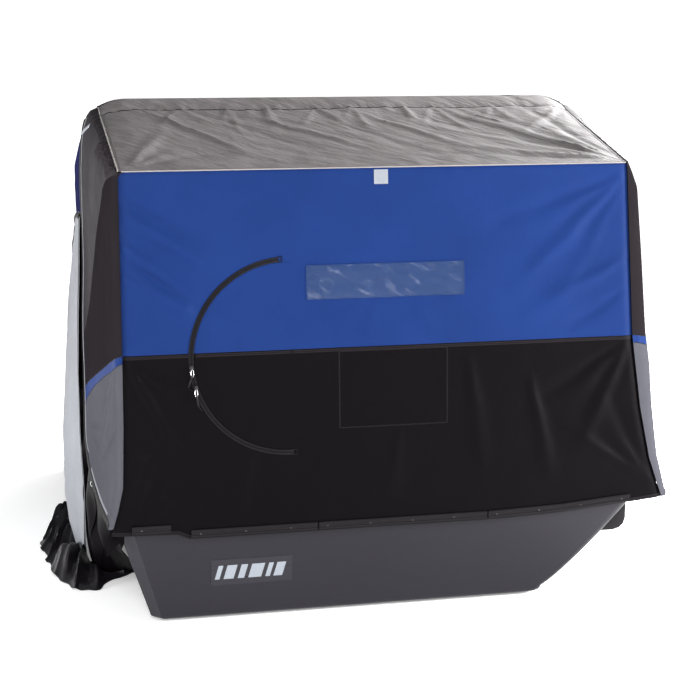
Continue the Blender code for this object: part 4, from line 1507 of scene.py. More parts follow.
def near_side(side):
    """The side between the back wall and the middle bail, in two pieces that meet on the rear leg's line."""
    name = "left" if side < 0 else "right"
    surface = side_surface(side, side_folds(side))
    ridge = [
        Vector((run_of(d, z) - (0.0 if d > 0.04 else 0.01), z))
        for d, z in resample([Vector(PROFILE[0]), Vector(PROFILE[1])], 0.05)
    ]
    ridge[0] = Vector((0.0, BACK_TOP[1]))
    rear_line = [Vector((run_of(leg_depth("rear", z), z), z)) for z in (1.50, 1.2, 0.9, 0.65, 0.50, 0.44)]
    opening = curve(OPENING, 5)
    split = min(range(len(opening)), key=lambda i: abs(opening[i].x - leg_depth("rear", opening[i].y)))
    opening_flat = to_flat([tuple(p) for p in opening])
    low_seam = 0.365 if side < 0 else 0.357
    seam = [Vector((0.0, z)) for z in (low_seam, 0.5, 0.7, SEAM_HEIGHT, 1.2, BACK_TOP[1])]
    top_start = Vector((run_of(leg_depth("rear", 1.53), 1.53), 1.53))

    near_outline = seam + [top_start] + rear_line + opening_flat[split:]
    far_outline = [top_start] + ridge[2:] + opening_flat[:split] + rear_line[::-1]
    colour_lines = [flat_edge(SWOOSH_TOP), flat_edge(SWOOSH_LOW), flat_edge(BLACK_EDGE)]
    pieces = (
        ("rear", near_outline, ("sled", "rear_bail"), back_weight),
        ("middle", far_outline, ("rear_bail", "middle_bail"), sector_weight("rear", "middle")),
    )
    for label, outline, bodies, weight in pieces:
        lines = [clip_line(line, outline) for line in colour_lines]
        flat, faces = fill(outline, [line for line in lines if len(line) > 1], [], 0.0115)
        faces = facing(surface, flat, faces, Vector((side, 0, 0)))
        piece = Piece()
        middle = flat[faces].mean(1)
        cloth(piece, flat, faces, surface, [near_side_colour(u, v) for u, v in middle])
        for line in lines[:2]:
            if len(line) > 2:
                tube(piece, [surface(p.x, p.y, 0.0004) for p in line], 0.0010, "piping", 6)
        upper_edge = [ridge[-1] - Vector((0.004, 0.045))] + opening_flat[:split + 1]
        edge = opening_flat[split:] if label == "rear" else upper_edge
        ribbon(piece, inset_line(edge, 0.009), surface, 0.018, "tape", 0.0006, 0.0012)
        ribbon(piece, inset_line(edge, 0.026)[:-4], surface, 0.010, "seam_light", 0.0, 0.0008)
        if label == "middle":
            inner = [p - Vector((0, 0.020)) for p in ridge[2:-3]]
            ribbon(piece, inner, surface, 0.009, "seam_strip", 0.0002, 0.0008)
            ribbon(piece, to_flat([(0.730, 1.612), (0.640, 1.645)]), surface, 0.013, "patch", 0.0012, 0.0010)
        thing = piece.build("side_" + label + "_cloth_" + name)
        bend(thing, *bodies, weight)
        if label == "rear":
            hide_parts("side_rear_" + name)
        declare_sheet(thing, flat, faces)


def inset_line(line, distance):
    """Moves an open line sideways, towards the back of the tent."""
    moved = []
    for i, here in enumerate(line):
        ahead = (line[min(i + 1, len(line) - 1)] - line[max(i - 1, 0)]).normalized()
        moved.append(here + Vector((ahead.y, -ahead.x)) * distance)
    return moved


def clip_line(line, outline):
    """The part of a line that lies inside an outline."""
    dense = resample(line, 0.006)
    found = inside(np.array([(p.x, p.y) for p in dense]), densify([Vector(p) for p in outline], 0.02))
    return [p for p, within in zip(dense, found) if within]


def slope_height(depth):
    """Height of the sides' upper edge beyond the ridge."""
    top, foot = PROFILE[1], PROFILE[2]
    return mix(top[1], foot[1], (depth - top[0]) / (foot[0] - top[0]))


def far_side(side):
    """The side over the door and beyond it."""
    name = "left" if side < 0 else "right"
    folds = Folds()
    folds.fan((run_of(0.70, 1.66), 1.62), -75, -30, 4, 0.4, 0.02, 0.006)
    folds.fan((run_of(1.38, 1.28), 1.28), -120, -70, 5, 0.7, 0.03, 0.007)
    folds.fan((run_of(2.0, 0.08), 0.08), 110, 170, 4, 0.6, 0.03, 0.007)
    surface = side_surface(side, folds, -0.003)
    top_profile = [Vector(PROFILE[1]), Vector((1.302, slope_height(1.302)))]
    top_flat = [Vector((run_of(p.x, p.y), p.y)) for p in resample(top_profile, 0.05)]
    middle_line = [(leg_depth("middle", z) - 0.012, z) for z in (1.30, 1.40, 1.55, 1.66)]
    door_top = [(1.30, 1.115), (1.10, 1.20), (0.90, 1.275), (0.76, 1.315), (0.66, 1.318)]
    outline = top_flat + to_flat(door_top) + to_flat(middle_line)
    flat, faces = fill(outline, [], [], 0.014)
    faces = facing(surface, flat, faces, Vector((side, 0, 0)))
    piece = Piece()
    # black cloth in painted shade with a painted blue reflection
    cloth(piece, flat, faces, surface, ["black_painted_blue_shade"] * len(faces))
    ribbon(piece, inset_line(to_flat(door_top)[::-1], -0.010), surface, 0.020, "tape", 0.0004, 0.0012)
    thing = piece.build("side_top_cloth_" + name)
    stretch(thing, "middle", "front", "_leg_" + name, "side_top_" + name, "black_cloth", flat, faces)

    slope = [Vector((1.303, slope_height(1.303))), Vector(SLOPE_FOOT)]
    front = resample([Vector(SLOPE_FOOT), Vector((FRONT_FOOT[0], 0.036))], 0.06)
    outline = to_flat([tuple(p) for p in slope[:1] + front]) + to_flat([(1.303, 0.036)])
    lines = [to_flat([(1.31, 0.62), (1.78, 0.62)]), to_flat([(1.31, 1.02), (1.58, 1.02)])]
    flat, faces = fill(outline, [clip_line(line, outline) for line in lines], [], 0.015)
    faces = facing(surface, flat, faces, Vector((side, 0, 0)))
    piece = Piece()
    middle = flat[faces].mean(1)
    # above the upper seam, black cloth in painted shade with a painted blue reflection
    names = ["black_painted_blue_shade" if v > 1.02 else "light" if v > 0.62 else "side_grey" for u, v in middle]
    cloth(piece, flat, faces, surface, names)
    for line in lines:
        ribbon(piece, clip_line(line, outline), surface, 0.010, "seam_black", 0.0, 0.0009)
    surface = side_surface(side, folds)
    hinge = to_flat([(1.303, 0.05), (1.303, 1.11)])
    ribbon(piece, inset_line(hinge, 0.010), surface, 0.018, "tape", 0.0004, 0.0012)
    thing = piece.build("side_front_cloth_" + name)
    stretch(thing, "front", "ground", "_leg_" + name, "side_front_" + name, "light_grey_cloth", flat, faces)


DOOR = [
    (1.296, 0.030), (1.296, 1.112), (1.10, 1.196), (0.90, 1.270), (0.76, 1.310), (0.668, 1.312),
    (0.640, 1.24), (0.618, 1.04), (0.600, 0.80), (0.590, 0.58), (0.592, 0.40), (0.62, 0.22),
    (0.665, 0.10), (0.700, 0.030),
]


DOOR_EDGE = (  # half width at the door's free edge, by height
    (0.05, 0.980), (0.15, 0.984), (0.32, 0.988), (0.55, 0.994), (0.77, 0.994), (0.90, 0.988), (1.11, 0.976),
    (1.35, 0.964),
)


def door_width(side, depth, height):
    """Half width at the door: it lies on the side at its hinge and curls in towards its free edge."""
    full = along(FULL, height) - 0.035 * smooth((depth - 1.3) / 0.8) + 0.012
    return mix(along(DOOR_EDGE, height), full, smooth((depth - 0.59) / 0.26))


def side_door(side):
    """The light door: its near edge hangs free of the doorway on the left, which stands unzipped."""
    name = "left" if side < 0 else "right"
    folds = Folds()
    folds.fan((run_of(0.66, 1.28), 1.28), -88, -55, 5, 0.75, 0.022, 0.008)
    folds.fan((run_of(0.70, 0.06), 0.06), 60, 100, 4, 0.6, 0.022, 0.009)
    folds.fan((run_of(1.28, 1.05), 1.05), 200, 260, 4, 0.6, 0.03, 0.006)
    folds.fan((run_of(1.28, 0.08), 0.08), 110, 165, 4, 0.6, 0.03, 0.006)
    surface = side_surface(side, folds, 0.0, 0.004, door_width)
    outline = to_flat([tuple(p) for p in curve(DOOR[5:], 6)]) + to_flat(DOOR[:5])
    flat, faces = fill(outline, [], [], 0.014)
    faces = facing(surface, flat, faces, Vector((side, 0, 0)))
    piece = Piece()
    cloth(piece, flat, faces, surface, ["light"] * len(faces))
    near = to_flat([tuple(p) for p in curve(DOOR[5:], 6)])
    ribbon(piece, inset_line(near, 0.009), surface, 0.018, "tape", 0.0004, 0.0012)
    ribbon(piece, inset_line(near, 0.028), surface, 0.010, "seam_light", 0.0, 0.0008)
    top = to_flat(DOOR[1:6])
    ribbon(piece, inset_line(top, 0.009), surface, 0.016, "tape", 0.0004, 0.0012)
    foot = to_flat([(0.72, 0.048), (1.28, 0.048)])
    ribbon(piece, foot, surface, 0.026, "seam_black", 0.0, 0.0010)
    thing = piece.build("side_door_cloth_" + name)
    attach(thing, "side_door_" + name)
    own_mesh(thing)
    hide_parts("side_door_" + name)
    declare_sheet(thing, flat, faces)


# ---- snow skirts ----------------------------------------------------------------------------------
def skirt(name, inner, outer, seed, pleats, tall, foot):
    """Crumpled cloth on the ice between an inner and an outer line.

    tall gives the height of its folds along the way, foot the height at which it is sewn to the tent.
    """
    along_count, across_count = 240, 30
    inside_line = resample([Vector(p) for p in curve(inner, 10)], 0.004)
    outside_line = resample([Vector(p) for p in curve(outer, 10)], 0.004)
    points, flats = [], []
    for i in range(along_count + 1):
        share = i / along_count
        a = inside_line[round(share * (len(inside_line) - 1))]
        b = outside_line[round(share * (len(outside_line) - 1))]
        high = along(tall, share)
        warp = share * pleats + 0.9 * ripple(share, 0.0, 9.0, (1, 1), seed)
        warp += 0.4 * ripple(share, 0.0, 23.0, (1, 1), seed)
        for k in range(across_count + 1):
            t = k / across_count
            spot = a.lerp(b, t)
            swing = 0.35 * ripple(spot.x, spot.y, 7.0, (1, 1), seed + 2)
            pleat = 1 - 2 * abs(math.sin(math.pi * (warp + swing)))  # sharp crests, round valleys
            body = smooth(t / 0.3) * (1 - smooth((t - 0.45) / 0.55)) ** 0.8
            small = ripple(spot.x, spot.y, 26.0, (1, 1), seed + 3)
            sharp = 1 - 2 * abs(ripple(spot.x, spot.y, 11.0, (1, 1), seed + 8))
            height = 0.003 + body * high * (0.60 + 0.34 * pleat + 0.26 * sharp + 0.06 * small)
            height += 0.10 * high * smooth(t / 0.6) * max(0.0, pleat)
            height += along(foot, share) * (1 - smooth(t / 0.45))
            out = (b - a).normalized() * (0.012 * pleat * t + 0.010 * t * small)
            points.append(space(spot.x + out.x, spot.y + out.y, max(0.0015, height)))
            flats.append((share * 1.8, t * 0.25))
    return thick_grid(
        points, flats, along_count + 1, across_count + 1, Vector((0, 0, 1)), 0.0014, "skirt", name, 28
    )


def finish_skirt(thing, node):
    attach(thing, "ground_bail")
    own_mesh(thing)
    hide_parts(node)


def skirts():
    inner = [
        (-0.80, 0.62), (-0.88, 0.64), (-0.955, 0.70), (-0.985, 0.85), (-0.990, 1.10), (-0.995, 1.6),
        (-0.995, 2.2)
    ]
    outer = [
        (-0.800, 0.585), (-0.855, 0.555), (-0.918, 0.49), (-0.955, 0.42), (-1.012, 0.43), (-1.060, 0.49),
        (-1.108, 0.62), (-1.118, 0.70), (-1.136, 0.80), (-1.150, 0.92), (-1.162, 1.02), (-1.110, 1.10),
        (-1.052, 1.22),
        (-1.040, 1.7), (-1.040, 2.2),
    ]
    tall = (
        (0.0, 0.03), (0.10, 0.06), (0.20, 0.095), (0.40, 0.110), (0.50, 0.085), (0.60, 0.040),
        (1.0, 0.030)
    )
    thing = skirt(
        "skirt_cloth_left", inner, outer, 30.0, 13.0, tall,
        ((0.0, 0.0), (0.42, 0.0), (0.55, 0.046), (1.0, 0.046))
    )
    finish_skirt(thing, "skirt_left")
    inner = [(0.995, 0.83), (0.995, 1.3), (0.995, 2.2)]
    outer = [(1.10, 0.84), (1.135, 0.95), (1.140, 1.4), (1.138, 2.2)]
    tall = ((0.0, 0.02), (0.08, 0.045), (1.0, 0.045))
    thing = skirt("skirt_cloth_right", inner, outer, 35.0, 11.0, tall, ((0.0, 0.046), (1.0, 0.046)))
    finish_skirt(thing, "skirt_right")
    inner = [(-0.985, 2.108), (0.0, 2.108), (0.985, 2.108)]
    outer = [(-0.985, 2.222), (0.0, 2.228), (0.985, 2.222)]
    tall = ((0.0, 0.02), (0.06, 0.045), (0.94, 0.045), (1.0, 0.02))
    thing = skirt("skirt_cloth_front", inner, outer, 40.0, 15.0, tall, ((0.0, 0.046), (1.0, 0.046)))
    finish_skirt(thing, "skirt_front")


DRAPE_FOOT = {  # where each drape ends, as (half width, depth, height) from its top down
    -1: (
        (0.985, 0.612, 0.71), (0.988, 0.615, 0.50), (0.988, 0.62, 0.30), (0.985, 0.64, 0.14),
        (0.965, 0.60, 0.04), (0.92, 0.56, 0.02), (0.86, 0.575, 0.012), (0.80, 0.60, 0.006),
    ),
    1: (
        (0.97, 0.612, 0.69), (0.955, 0.58, 0.53), (0.948, 0.50, 0.44), (0.942, 0.36, 0.385),
        (0.938, 0.20, 0.372), (0.930, 0.10, 0.366), (0.920, 0.03, 0.363),
    ),
}


def doorway_drapes():
    """The black cloth that hangs below each side's near panel and closes the corner beside the sled."""
    for name, side in (("left", -1), ("right", 1)):
        surface = side_surface(side)
        top = curve([tuple(p) for p in to_flat(OPENING[5:])], 8)
        foot = curve(DRAPE_FOOT[side], 8)
        rows, columns = 64, 36
        points, flats = [], []
        for i in range(rows + 1):
            share = i / rows
            a2 = top[round(share * (len(top) - 1))]
            a = surface(a2.x - 0.012, a2.y + 0.006, -0.006)
            b = foot[round(share * (len(foot) - 1))]
            b = space(side * b.x, b.y, b.z)
            for k in range(columns + 1):
                t = k / columns
                spot = a.lerp(b, t)
                pleat = math.sin(26.0 * share + 2.0 * math.sin(5 * t)) * math.sin(math.pi * t)
                spot += Vector((side * 0.012, -0.010, 0.0)) * pleat
                wave = ripple(spot.y, spot.z, 9.0, (1, 1), 51.0)
                spot += Vector((side, -0.5, 0)) * 0.010 * wave * math.sin(math.pi * t)
                spot.z = max(spot.z, 0.004)
                points.append(spot)
                flats.append((share * 0.95, t * (0.02 + 0.45 * share)))
        outward = Vector((side, -0.6, 0))
        thing = thick_grid(
            points, flats, rows + 1, columns + 1, outward, 0.0016, "black", "doorway_drape_" + name, 60
        )
        bend(thing, "sled", "rear_bail", lambda point: smooth((point.z - 0.42) / 0.16))


def hem_tongue():
    """The loose end of the hem, hanging beside the sled's stern corner."""
    outline = [
        (-0.918, 0.350), (-0.934, 0.300), (-0.933, 0.262), (-0.912, 0.284), (-0.889, 0.302),
        (-0.884, 0.280), (-0.874, 0.300), (-0.872, 0.345),
    ]

    def surface(x, height, lift):
        wave = 0.010 * math.sin(70.0 * x) * clamp((0.35 - height) / 0.08)
        return space(x, 0.028 - lift + wave - 0.10 * (0.35 - height), height)

    flat, faces = fill([Vector(p) for p in outline], [], [], 0.008)
    faces = facing(surface, flat, faces, Vector((0, -1, 0)))
    piece = Piece()
    cloth(piece, flat, faces, surface, ["black"] * len(faces))
    thing = piece.build("hem_tongue")
    settle(thing, "sled")
    declare_sheet(thing, flat, faces)


# ---- sled -----------------------------------------------------------------------------------------
SLED_WIDTH = HULL_HIGH.y - HULL_LOW.y - 2 * (LIP - 0.002)
BOTTOM_Z = HULL_LOW.z
STERN_X = HULL_LOW.x + LIP
WALL = 0.006


def hull_wall(level, depth):
    """The plan of the tub's wall at height level, moved inwards by depth."""
    share = (level - BOTTOM_Z) / (RIM_Z - BOTTOM_Z)
    stern = mix(STERN_X + 0.112, STERN_X, share)
    bow = 0.555 + 0.365 * max(0.0, share) ** 0.78
    inset = mix(0.054, 0.002, share)
    return stern + depth, bow - depth, inset + depth, mix(0.035, 0.050, share), 0.004


def hull_ring(z, stern, bow, inset, corner, bulge):
    """A rectangle with chamfered, softly edged stern corners and round bow corners."""
    low, high = NEAR_Y + inset, NEAR_Y + SLED_WIDTH - inset
    middle, half = (low + high) / 2, (high - low) / 2
    points = []

    def straight(a, b, parts):
        points.extend(Vector(a).lerp(Vector(b), i / parts) for i in range(parts))

    def rounded(cx, cy, radius, first):
        for step in range(8):
            turn = math.radians(first + 90 * step / 8)
            points.append(Vector((cx + radius * math.cos(turn), cy + radius * math.sin(turn))))

    def chamfer(cx, cy, size, first):
        """Two soft edges with a flat facet between them."""
        for share in (0.0, 0.04, 0.10, 0.5, 0.90, 0.96, 1.0):
            turn = math.radians(first + 90 * share)
            spot = Vector((math.cos(turn), math.sin(turn)))
            a = Vector((math.cos(math.radians(first)), math.sin(math.radians(first))))
            b = Vector((math.cos(math.radians(first + 90)), math.sin(math.radians(first + 90))))
            flat = a.lerp(b, share)
            bend_in = 1.0 if share in (0.0, 1.0) else 0.16 if 0.09 < share < 0.91 else 0.55
            points.append(Vector((cx, cy)) + size * flat.lerp(spot, bend_in))

    rounded(bow - corner, low + corner, corner, -90)
    straight((bow, low + corner), (bow, high - corner), 12)
    rounded(bow - corner, high - corner, corner, 0)
    straight((bow - corner, high), (stern + corner, high), 30)
    chamfer(stern + corner, high - corner, corner, 90)
    straight((stern, high - corner), (stern, low + corner), 10)
    chamfer(stern + corner, low + corner, corner, 180)
    straight((stern + corner, low), (bow - corner, low), 30)
    for point in points:
        if point.x > bow - corner - 1e-6:
            point.x += bulge * (1 - ((point.y - middle) / half) ** 2)
    return [Vector((p.x, p.y, z)) for p in points]


def sled_hull():
    rings = []
    bilge = 0.020
    for step in range(6):  # the rounded edge between the bottom and the walls
        turn = 0.5 * math.pi * step / 5
        level = BOTTOM_Z + bilge * (1 - math.cos(turn))
        pulled = bilge * (1 - math.sin(turn))
        stern, bow, inset, corner, bulge = hull_wall(BOTTOM_Z + bilge, 0.0)
        rings.append(hull_ring(level, stern + pulled, bow - 1.6 * pulled, inset + pulled, corner, bulge))
    levels = [BOTTOM_Z + bilge + (RIM_Z - 0.020 - BOTTOM_Z - bilge) * i / 14 for i in range(1, 15)]
    for level in levels:
        rings.append(hull_ring(level, *hull_wall(level, 0.0)))
    for rise, out in ((-0.016, 0.002), (-0.012, 0.009), (-0.009, LIP), (-0.003, LIP), (0.0, LIP - 0.003)):
        stern, bow, inset, corner, bulge = hull_wall(RIM_Z, -out)
        rings.append(hull_ring(RIM_Z + rise, stern, bow, inset, corner + out, bulge))
    for level in [RIM_Z, RIM_Z - 0.004] + levels[::-1]:
        rings.append(hull_ring(level, *hull_wall(level, WALL if level < RIM_Z else 0.002)))
    stern, bow, inset, corner, bulge = hull_wall(BOTTOM_Z + bilge, WALL)
    rings.append(hull_ring(BOTTOM_Z + bilge, stern, bow, inset, corner, bulge))
    rings.append(hull_ring(BOTTOM_Z + WALL, stern + 0.016, bow - 0.03, inset + 0.014, corner, bulge))
    count = len(rings[0])
    build = bmesh.new()
    rows = [[build.verts.new(p) for p in ring] for ring in rings]
    for lower, upper in zip(rows, rows[1:]):
        for i in range(count):
            j = (i + 1) % count
            build.faces.new((lower[i], lower[j], upper[j], upper[i]))
    for row in (rows[0], rows[-1]):
        centre = build.verts.new(sum((v.co for v in row), Vector()) / count)
        for i in range(count):
            build.faces.new((row[i], row[(i + 1) % count], centre))
    thing = from_bmesh(build, "sled_tub", "sled", 28)
    settle(thing, "sled", "sled_hull")


def wear_bars():
    for label in ("near", "far"):
        low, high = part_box("wear_bar_" + label)
        bar = bevelled_box("runner_" + label, low, high, 0.003, "runner")
        settle(bar, "sled", "wear_bar_" + label)


def hitch():
    low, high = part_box("tow_hitch_block")
    half = (high.y - low.y) / 2
    middle = (high.y + low.y) / 2
    section = [
        (low.x, low.z), (0.860, low.z), (0.884, 0.218), (0.900, 0.232), (high.x, 0.256), (high.x, high.z),
        (hull_wall(high.z, 0.0)[1] + 0.007, high.z), (hull_wall(0.28, 0.0)[1] + 0.007, 0.28),
    ]
    build = bmesh.new()
    rows = []
    for y in (middle - half, middle + half):
        rows.append([build.verts.new((x, y, z)) for x, z in section])
    build.faces.new(rows[0])
    build.faces.new(rows[1][::-1])
    for i in range(len(section)):
        j = (i + 1) % len(section)
        build.faces.new((rows[0][i], rows[1][i], rows[1][j], rows[0][j]))
    bmesh.ops.recalc_face_normals(build, faces=build.faces)
    bmesh.ops.bevel(build, geom=list(build.edges), offset=0.005, segments=3, profile=0.5, affect="EDGES")
    block = from_bmesh(build, "hitch_block", "black_plastic")
    settle(block, "sled", "tow_hitch_block")


def hull_side(x, height, lift):
    """The near wall of the tub."""
    inset = hull_wall(height, 0.0)[2]
    return Vector((x, NEAR_Y + inset - lift, height))


def decal():
    """A plain plate with slanted bars on the tub's near wall."""
    piece = Piece()
    low, high = (-0.589, 0.128), (-0.312, 0.222)
    flat, faces = fill(ring_path(low, high), [], [], 0.02)
    faces = facing(hull_side, flat, faces, Vector((0, -1, 0)))

    def raised(by):
        return lambda x, z, lift: hull_side(x, z, lift + by)

    cloth(piece, flat, faces, raised(0.0009), ["decal"] * len(faces), 0.0008, "decal")
    bars = (
        (-0.577, 0.016), (-0.547, 0.034), (-0.499, 0.022), (-0.463, 0.044), (-0.405, 0.016),
        (-0.377, 0.030)
    )
    for start, width in bars:
        lean = 0.014
        z0, z1 = 0.150, 0.200
        corners = [
            Vector((start, z0)), Vector((start + width, z0)), Vector((start + width + lean, z1)),
            Vector((start + lean, z1))
        ]
        flat, faces = fill(corners, [], [], 0.02)
        faces = facing(hull_side, flat, faces, Vector((0, -1, 0)))
        cloth(piece, flat, faces, raised(0.0014), ["decal_pale"] * len(faces), 0.0005, "decal_pale")
    thing = piece.build("sled_decal")
    settle(thing, "sled")


# ---- frame ----------------------------------------------------------------------------------------
LEG_RADII = (0.0110, 0.0093)
HOOP_RADII = (0.0090, 0.0076)
HOOP_BEND = 0.09
LEG_TAIL, LEG_LENGTH, HOOP_START = 0.022, 0.72, 0.60
BAILS = {
    "rear": (1.170, 0.838), "middle": (1.3629, 0.875), "front": (1.360, 0.920), "ground": (1.7045, 0.955)
}


def bails():
    """Each bail's hoop and two legs as drawn tubes, where the frame has them."""
    for index, (name, (reach, top_x)) in enumerate(BAILS.items()):
        pivot_x = 0.888 + 0.0235 * index
        angle = math.radians(ANGLE[name])
        up = Vector((0, math.cos(angle), math.sin(angle)))
        slant = Vector((pivot_x - top_x, reach))
        heading = slant.normalized()

        def place(x, distance):
            return Vector((x, PIVOT.y, PIVOT.z)) + up * distance

        def on_leg(side, distance):
            return place(side * (pivot_x - heading[0] * distance), heading[1] * distance)

        turn = math.acos(heading[0])
        cut = HOOP_BEND * math.tan(turn / 2)
        arc = []
        for step in range(13):
            swept = turn * step / 12
            sideways, forward = HOOP_BEND * (1 - math.cos(swept)), HOOP_BEND * math.sin(swept)
            right = Vector((heading[1], -heading[0]))
            corner = Vector((-top_x, reach)) - cut * heading
            arc.append(corner + forward * heading + sideways * right)
        left = [on_leg(-1, HOOP_START)] + [place(x, d) for x, d in arc]
        right = [place(-x, d) for x, d in arc[::-1]] + [on_leg(1, HOOP_START)]
        hoop = hollow_tube(name + "_hoop_tube", left + right, *HOOP_RADII, "alloy", 24)
        settle(hoop, name + "_bail", name + "_hoop")
        for label, side in (("left", -1), ("right", 1)):
            path = [on_leg(side, -LEG_TAIL), on_leg(side, LEG_LENGTH)]
            leg = hollow_tube(name + "_leg_tube_" + label, path, *LEG_RADII, "alloy", 28)
            settle(leg, name + "_bail", name + "_leg_" + label)


# ---- seats ----------------------------------------------------------------------------------------
def cushion_mesh(name, low, high, crown):
    """A crowned pad: a subdivided box whose faces swell and whose corners pull in."""
    build = bmesh.new()
    bmesh.ops.create_cube(build, size=2.0)
    bmesh.ops.subdivide_edges(build, edges=list(build.edges), cuts=15, use_grid_fill=True)
    middle, half = (Vector(low) + Vector(high)) / 2, (Vector(high) - Vector(low)) / 2
    power = 7.0
    for vertex in build.verts:
        x, y, z = vertex.co
        size = (abs(x) ** power + abs(y) ** power + abs(z) ** power) ** (1 / power)
        spot = Vector((x, y, z)) / max(size, 1e-6)
        pull = 1 - 0.02 * (abs(spot.x * spot.y) ** 3)
        thin = min(range(3), key=lambda k: half[k])
        face = [abs(c) for k, c in enumerate(spot) if k != thin]
        swell = crown * (1 - face[0] ** 2) * (1 - face[1] ** 2)
        spot = Vector((spot.x * half.x * pull, spot.y * half.y * pull, spot.z * half.z * pull))
        spot[thin] += math.copysign(swell, spot[thin]) if abs(spot[thin]) > 0.2 * half[thin] else 0.0
        vertex.co = middle + spot
    return from_bmesh(build, name, "seat", 80)


def simulate(thing, cap):
    """Blows the pad up under pressure and keeps the result, no point moving further than cap."""
    mesh = thing.data
    rest = np.array([v.co[:] for v in mesh.vertices])
    modifier = thing.modifiers.new("swell", "CLOTH")
    settings = modifier.settings
    settings.use_pressure = True
    settings.uniform_pressure_force = 4.0
    settings.effector_weights.gravity = 0.0
    settings.quality = 4
    settings.tension_stiffness = 25.0
    settings.compression_stiffness = 25.0
    scene = bpy.context.scene
    for step in range(1, 21):
        scene.frame_set(step)
    shape = thing.evaluated_get(bpy.context.evaluated_depsgraph_get()).to_mesh()
    moved = np.array([v.co[:] for v in shape.vertices])
    thing.evaluated_get(bpy.context.evaluated_depsgraph_get()).to_mesh_clear()
    thing.modifiers.remove(modifier)
    scene.frame_set(1)
    step = moved - rest
    length = np.linalg.norm(step, axis=1)
    step *= np.minimum(1.0, cap / np.maximum(length, 1e-9))[:, None]
    mesh.vertices.foreach_set("co", (rest + step).astype(np.float32).ravel())
    mesh.update()


def pad(name, low, high, crown, body, node, seam_axis):
    thing = cushion_mesh(name, low, high, crown)
    simulate(thing, 0.006)
    piece = Piece()
    middle, half = (Vector(low) + Vector(high)) / 2, (Vector(high) - Vector(low)) / 2
    others = [k for k in range(3) if k != seam_axis]
    for level in (-0.62, 0.62):
        ring = []
        for step in range(72):
            turn = 2 * math.pi * step / 72
            spot = Vector((0, 0, 0))
            c, s = math.cos(turn), math.sin(turn)
            size = (abs(c) ** 7 + abs(s) ** 7) ** (1 / 7)
            spot[others[0]] = half[others[0]] * c / size * 0.995
            spot[others[1]] = half[others[1]] * s / size * 0.995
            spot[seam_axis] = half[seam_axis] * level
            ring.append(middle + spot)
        tube(piece, ring, 0.0028, "piping", 8, True)
    cord = piece.build(name + "_piping")
    for thing_ in (thing, cord):
        settle(thing_, body)
    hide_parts(node)


def seats():
    for name in ("left", "right"):
        low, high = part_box("seat_cushion_" + name)
        shrink = Vector((0.006, 0.006, 0.003))
        top = high - Vector((0.006, 0.006, 0.008))
        pad("seat_pad_" + name, low + shrink, top, 0.006, "seat_" + name, "seat_cushion_" + name, 2)
        low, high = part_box("seat_back_" + name)
        shrink = Vector((0.004, 0.006, 0.004))
        back = "seat_back_" + name
        pad("seat_back_pad_" + name, low + shrink, high - shrink, 0.005, back, back, 1)
    for label in ("near", "far"):
        low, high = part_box("seat_rail_" + label)
        centre_y, centre_z = (low.y + high.y) / 2, (low.z + high.z) / 2
        path = [Vector((low.x, centre_y, centre_z)), Vector((high.x, centre_y, centre_z))]
        rail = hollow_tube("seat_rail_tube_" + label, path, 0.0125, 0.0108, "black_steel")
        settle(rail, "sled", "seat_rail_" + label)


# ---- carried-over hardware ------------------------------------------------------------------------
def hardware():
    """Gives the machined parts that come straight from the frame their metal."""
    for node, thing in frame["nodes"].items():
        black = node.startswith(("seat_base", "pivot_bracket", "pivot_bolt"))
        if black or "_button_" in node:
            thing.data.materials.clear()
            thing.data.materials.append(MAT["black_steel" if black else "bright_steel"])


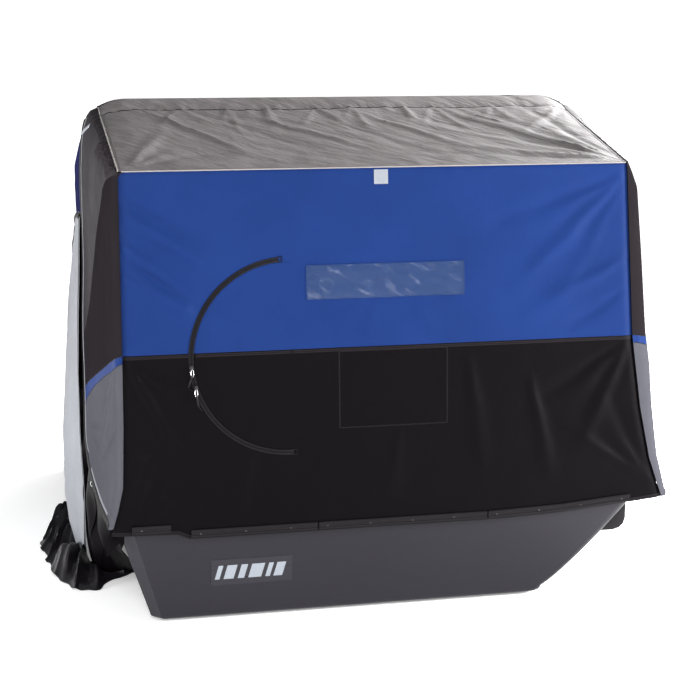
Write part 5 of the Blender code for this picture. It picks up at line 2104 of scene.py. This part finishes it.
# ---- studio ---------------------------------------------------------------------------------------
def studio():
    build = bmesh.new()
    bmesh.ops.create_grid(build, x_segments=2, y_segments=2, size=60.0)
    mesh = bpy.data.meshes.new("floor")
    build.to_mesh(mesh)
    build.free()
    floor = bpy.data.objects.new("floor", mesh)
    bpy.context.scene.collection.objects.link(floor)
    floor.location.z = -0.0005
    nodes = Nodes("floor")
    far = nodes.add("VectorMath", {"operation": "LENGTH"}, Vector=nodes.place("object")).outputs["Value"]
    # the floor glows like the backdrop but for a dimmer round below the object
    reach = {"From_Min": 1.25, "From_Max": 2.2, "To_Min": 0.22, "To_Max": 0.95}
    glow = nodes.add("MapRange", {"interpolation_type": "SMOOTHSTEP"}, Value=far, **reach)
    nodes.finish(Base_Color=(1.0, 1.0, 1.0, 1.0), Roughness=0.9, Specular_IOR_Level=0.0)
    nodes.finish(Emission_Color=(1.0, 1.0, 1.0, 1.0), Emission_Strength=glow.outputs["Result"])
    mesh.materials.append(nodes.material)

    world = bpy.data.worlds.new("studio")
    world.use_nodes = True
    world.node_tree.nodes["Background"].inputs["Color"].default_value = (1.0, 1.0, 1.0, 1.0)
    tree = world.node_tree
    heading = tree.nodes.new("ShaderNodeTexCoord")
    split = tree.nodes.new("ShaderNodeSeparateXYZ")
    fade = tree.nodes.new("ShaderNodeMapRange")
    fade.interpolation_type = "SMOOTHSTEP"
    for key, value in (("From Min", 0.08), ("From Max", 0.50), ("To Min", 1.08), ("To Max", 0.40)):
        fade.inputs[key].default_value = value
    tree.links.new(heading.outputs["Generated"], split.inputs[0])
    tree.links.new(split.outputs["Z"], fade.inputs["Value"])
    tree.links.new(fade.outputs["Result"], tree.nodes["Background"].inputs["Strength"])
    bpy.context.scene.world = world
    bpy.context.scene.view_settings.view_transform = "Standard"

    def area(name, place, aim, size, power):
        data = bpy.data.lights.new(name, "AREA")
        data.shape = "DISK"
        data.size = size
        data.energy = power
        lamp = bpy.data.objects.new(name, data)
        bpy.context.scene.collection.objects.link(lamp)
        lamp.location = place
        lamp.rotation_euler = (Vector(aim) - Vector(place)).to_track_quat("-Z", "Y").to_euler()

    area("key_right", (2.4, 0.8, 2.9), (0.3, 0.35, 1.6), 1.6, 350)
    area("side_right", (3.9, -2.7, 1.7), (0.85, -1.0, 0.8), 1.2, 390)
    area("front", (-1.8, -6.0, 3.4), (0.0, 0.0, 0.9), 2.5, 270)
    area("side_left", (-4.8, -1.8, 0.5), (-0.95, -1.05, 0.15), 0.9, 190)


def camera():
    """The viewer stands off the sled's near side, a little to its stern, looking slightly down."""
    heading, pitch, roll = math.radians(11.53), math.radians(-11.07), math.radians(-0.2)
    ahead = Vector(
        (math.sin(heading) * math.cos(pitch), math.cos(heading) * math.cos(pitch), math.sin(pitch))
    )
    level = ahead.cross(Vector((0, 0, 1))).normalized()
    above = level.cross(ahead)
    right = math.cos(roll) * level + math.sin(roll) * above
    up = right.cross(ahead)
    turned = Matrix((right, up, -ahead)).transposed().to_4x4()
    data = bpy.data.cameras.new("camera")
    data.sensor_width = 36.0
    data.lens = 77.14
    made = bpy.data.objects.new("camera", data)
    bpy.context.scene.collection.objects.link(made)
    made.matrix_world = Matrix.Translation((-1.09, NEAR_Y - 4.781, 1.881)) @ turned
    bpy.context.scene.camera = made


def main():
    camera()
    studio()
    back_wall()
    back_flap()
    zipper()
    slider("upper", 185.0, 0.0032)
    slider("lower", 197.0, 0.0072)
    back_window()
    patch()
    hem_rails()
    roof()
    front_slope()
    front_wall()
    for side in (-1, 1):
        near_side(side)
        far_side(side)
        side_door(side)
    skirts()
    doorway_drapes()
    hem_tongue()
    sled_hull()
    wear_bars()
    hitch()
    decal()
    bails()
    seats()
    hardware()


main()
bpy.context.view_layer.update()
